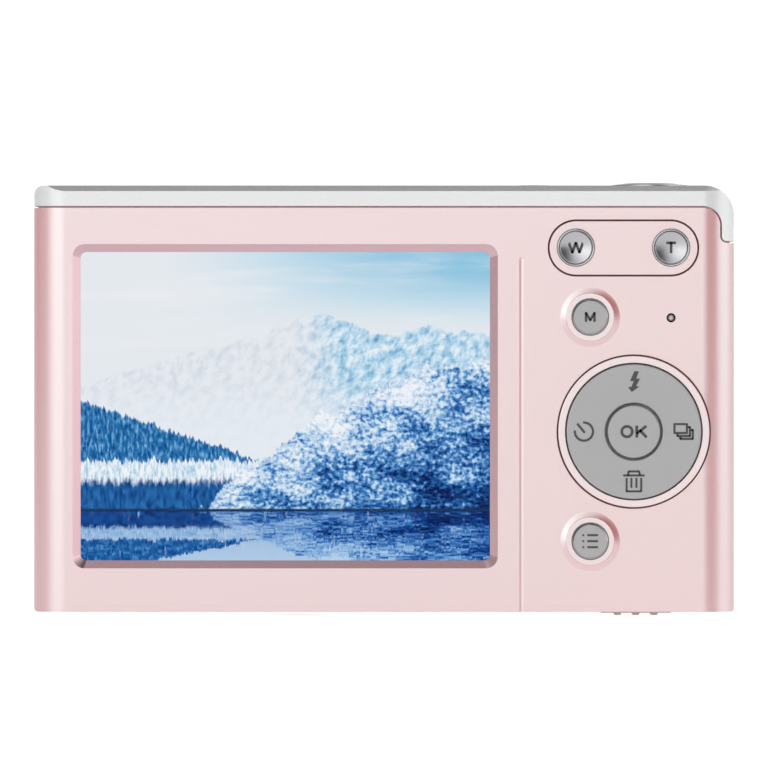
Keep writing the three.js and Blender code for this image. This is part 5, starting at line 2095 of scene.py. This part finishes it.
@dataclass
class Connections:
    """The USB socket, the strap eyelet and the tripod thread."""

    shell: float = 0.35 * MM

    def build(self) -> None:
        """Makes the three connections."""
        self._socket(Box.of("usb_socket"))
        self._eyelet(Box.of("strap_eyelet"))
        self._tripod(Box.of("tripod_nut"))

    def _socket(self, box: Box) -> None:
        """A pressed steel shell with a plastic tongue and plated contacts."""
        shell = Solid.block(box, Axis.X, 1.4 * MM, 12)
        hollow = box.face(Axis.X).grown(-self.shell)
        shell.take(Solid.prism(hollow, (box.low.x - MM, box.high.x - MM), Axis.X, 1.1 * MM, 12))
        place_piece("usb_shell", shell, "root", STEEL, ["usb_socket"])
        middle = ((box.low.y + box.high.y) / 2, box.centre.z)
        tongue = Rect.round(middle, 0.65 * MM, 6.2 * MM)
        blade = Solid.prism(tongue, (box.low.x + MM, box.high.x - 0.9 * MM), Axis.X, 0.15 * MM, 4)
        blade.eased(0.08 * MM, lambda at: at.x < box.low.x + 1.01 * MM, 2, 50)
        place_piece("usb_tongue", blade, "root", BLACK)
        strips, run = [], (box.low.x + 1.3 * MM, box.low.x + 4.5 * MM)
        for side in (-1, 1):
            face = middle[0] + side * 0.325 * MM
            for i in range(12):
                level = middle[1] + (i - 5.5) * 0.5 * MM
                strip = Rect.round((face, level), 0.06 * MM, 0.28 * MM)
                strips.append(Solid.prism(strip, run, Axis.X, 0.02 * MM, 2))
        place_piece("usb_contacts", merged(strips), "root", GOLD)

    def _eyelet(self, box: Box) -> None:
        """A cast pocket with a bar across for a wrist strap."""
        body = Solid.block(box, Axis.X, 0.5 * MM, 5)
        (y0, z0), (y1, z1) = box.face(Axis.X).low, box.face(Axis.X).high
        pocket = Rect((y0 + 0.7 * MM, z0 + 0.9 * MM), (y1 - 0.7 * MM, z1 - 0.9 * MM))
        body.take(Solid.prism(pocket, (box.low.x + 0.8 * MM, box.high.x + MM), Axis.X, 0.9 * MM, 8))
        body.eased(0.12 * MM, lambda at: at.x > box.high.x - 0.02 * MM, 3, 50)
        bar = [
            (0, box.low.z + 0.5 * MM), (0.75 * MM, box.low.z + 0.5 * MM), (0.65 * MM, box.centre.z - 2 * MM),
            (0.6 * MM, box.centre.z), (0.65 * MM, box.centre.z + 2 * MM), (0.75 * MM, box.high.z - 0.5 * MM),
            (0, box.high.z - 0.5 * MM),
        ]
        body.join(Solid.turned(bar, Vector((box.high.x - MM, box.centre.y, 0)), Axis.Z, 28))
        place_piece("strap_bar", body, "root", ZINC, ["strap_eyelet"])

    def _tripod(self, nut: Box) -> None:
        """The threaded tripod bush."""
        radius, bore, foot = nut.size.x / 2, 2.55 * MM, nut.low.z
        roof = nut.high.z - 0.6 * MM
        pitch = 0.6 * MM
        thread = []
        for i in range(int((roof - foot - pitch) / pitch)):
            at = roof - 0.3 * MM - pitch * i
            thread += [(bore + 0.22 * MM, at), (bore, at - 0.3 * MM)]
        profile = [
            (0, roof), (bore, roof), *thread, (bore + 0.3 * MM, foot), (radius - 0.1 * MM, foot),
            (radius, foot + 0.1 * MM), (radius, nut.high.z), (0, nut.high.z),
        ]
        place_turned("tripod_bush", profile, nut, Axis.Z, 56, "root", GOLD, "tripod_nut")


@dataclass
class Inside:
    """Boards and chips, which keep the frame's own shapes."""

    def build(self) -> None:
        """Gives each board and chip its finish."""
        dress(["main_board", "key_board", "sensor_board"], Circuit())
        dress(["image_processor", "image_sensor"], GLOSS_BLACK)
        dress(["chassis_plate"], STEEL)
        dress(["key_mat"], SILICONE)


# ---- Studio ----


@dataclass
class Studio:
    """Floor, surrounding light and camera."""

    distance: float = 2.0
    view_width: float = 107.52 * MM
    lift: float = 2.05 * MM
    floor_side: float = 6.0
    strength: float = 2.5

    def build(self) -> None:
        """Makes the floor, the light and the camera."""
        self._floor()
        self._surroundings()
        self._camera()
        bpy.context.scene.view_settings.view_transform = "Standard"

    def _floor(self) -> None:
        """A plain pale floor under the camera's lowest point."""
        ground = Solid.prism(
            Rect.round((0.0, 0.0), self.floor_side, self.floor_side),
            (CAD_BOX[0].z - 10 * MM, CAD_BOX[0].z - 0.02 * MM),
        )
        floor = ground.shown("floor")
        sheet = Sheet("floor_pale")
        cloud = sheet.noise(sheet.place(), 3.0)
        sheet.set(
            Base_Color=sheet.blend(cloud, (0.93, 0.93, 0.93), (0.96, 0.96, 0.96)),
            Roughness=0.9,
            Emission_Color=(1.0, 1.0, 1.0, 1.0),
            Emission_Strength=0.6,
        )
        floor.data.materials.append(sheet.material)

    def _surroundings(self) -> None:
        """Soft studio light, brightest at the screen side, with a dark card at its right."""
        world = bpy.data.worlds.new("studio")
        bpy.context.scene.world = world
        world.use_nodes = True
        tree = world.node_tree
        tree.nodes.clear()
        sheet = Sheet.__new__(Sheet)
        sheet.tree = tree
        split = sheet.node("SeparateXYZ")
        sheet.feed(split.inputs[0], sheet.node("TexCoord").outputs["Generated"])
        east, north, up = split.outputs
        bearing = sheet.maths("ARCTAN2", east, sheet.maths("MULTIPLY", north, -1.0))
        share = sheet.maths("MULTIPLY_ADD", bearing, 1 / FULL_TURN, 0.5)
        around = sheet.ramp(share, [(at, (value,) * 3) for at, value in self._bearings()])
        rise = sheet.maths("MULTIPLY_ADD", up, 0.5, 0.5)
        overhead = sheet.ramp(rise, [(at, (value,) * 3) for at, value in (
            (0.0, 0.7), (0.3, 0.8), (0.42, 1.0), (0.58, 1.0), (0.7, 0.75), (0.85, 0.45), (1.0, 0.35),
        )])
        lit = sheet.node("Background")
        sheet.feed(lit.inputs["Color"], sheet.blend(1.0, around, overhead, "MULTIPLY"))
        lit.inputs["Strength"].default_value = self.strength
        tree.links.new(lit.outputs[0], sheet.node("OutputWorld").inputs["Surface"])

    @staticmethod
    def _bearings() -> list[Point]:
        """Brightness round the horizon, as a share of a turn from behind, by the left, to behind."""
        degrees = [
            (-180, 0.5), (-160, 0.4), (-125, 0.1), (-90, 0.16), (-72, 0.24), (-50, 0.8), (-40, 1.0),
            (-16, 1.0), (-4, 0.74), (4, 0.66), (21, 0.0), (42, 0.0), (54, 0.25), (70, 0.75), (82, 0.82),
            (98, 0.8), (122, 0.5), (150, 0.4), (180, 0.5),
        ]
        return [((angle + 180) / 360, value) for angle, value in degrees]

    def _camera(self) -> None:
        """A level view of the screen side from far off, as through a long lens."""
        lens = bpy.data.cameras.new("view")
        camera = bpy.data.objects.new("view", lens)
        bpy.context.scene.collection.objects.link(camera)
        casing, body = Box.of("top_cover"), Box.of("front_case")
        centre_z = (casing.high.z + body.low.z) / 2
        plane = casing.low.y + 4.5 * MM
        camera.location = (0.0, plane - self.distance, centre_z + self.lift)
        camera.rotation_euler = (math.pi / 2, 0.0, 0.0)
        lens.sensor_width = 36.0
        lens.lens = lens.sensor_width * self.distance / self.view_width
        lens.clip_start, lens.clip_end = 0.1, 20.0
        bpy.context.scene.camera = camera


def main() -> None:
    """Builds the camera and its studio."""
    logging.basicConfig(level=logging.INFO, format="%(message)s")
    groups = (
        Studio, Casing, Display, ZoomKeys, RoundKeys, PadCluster, Indicator, LensGroup, FrontLights, TopKeys,
        BatteryDoor, Fasteners, Connections, Inside,
    )
    for group in groups:
        group().build()


if __name__ == "__main__":
    main()
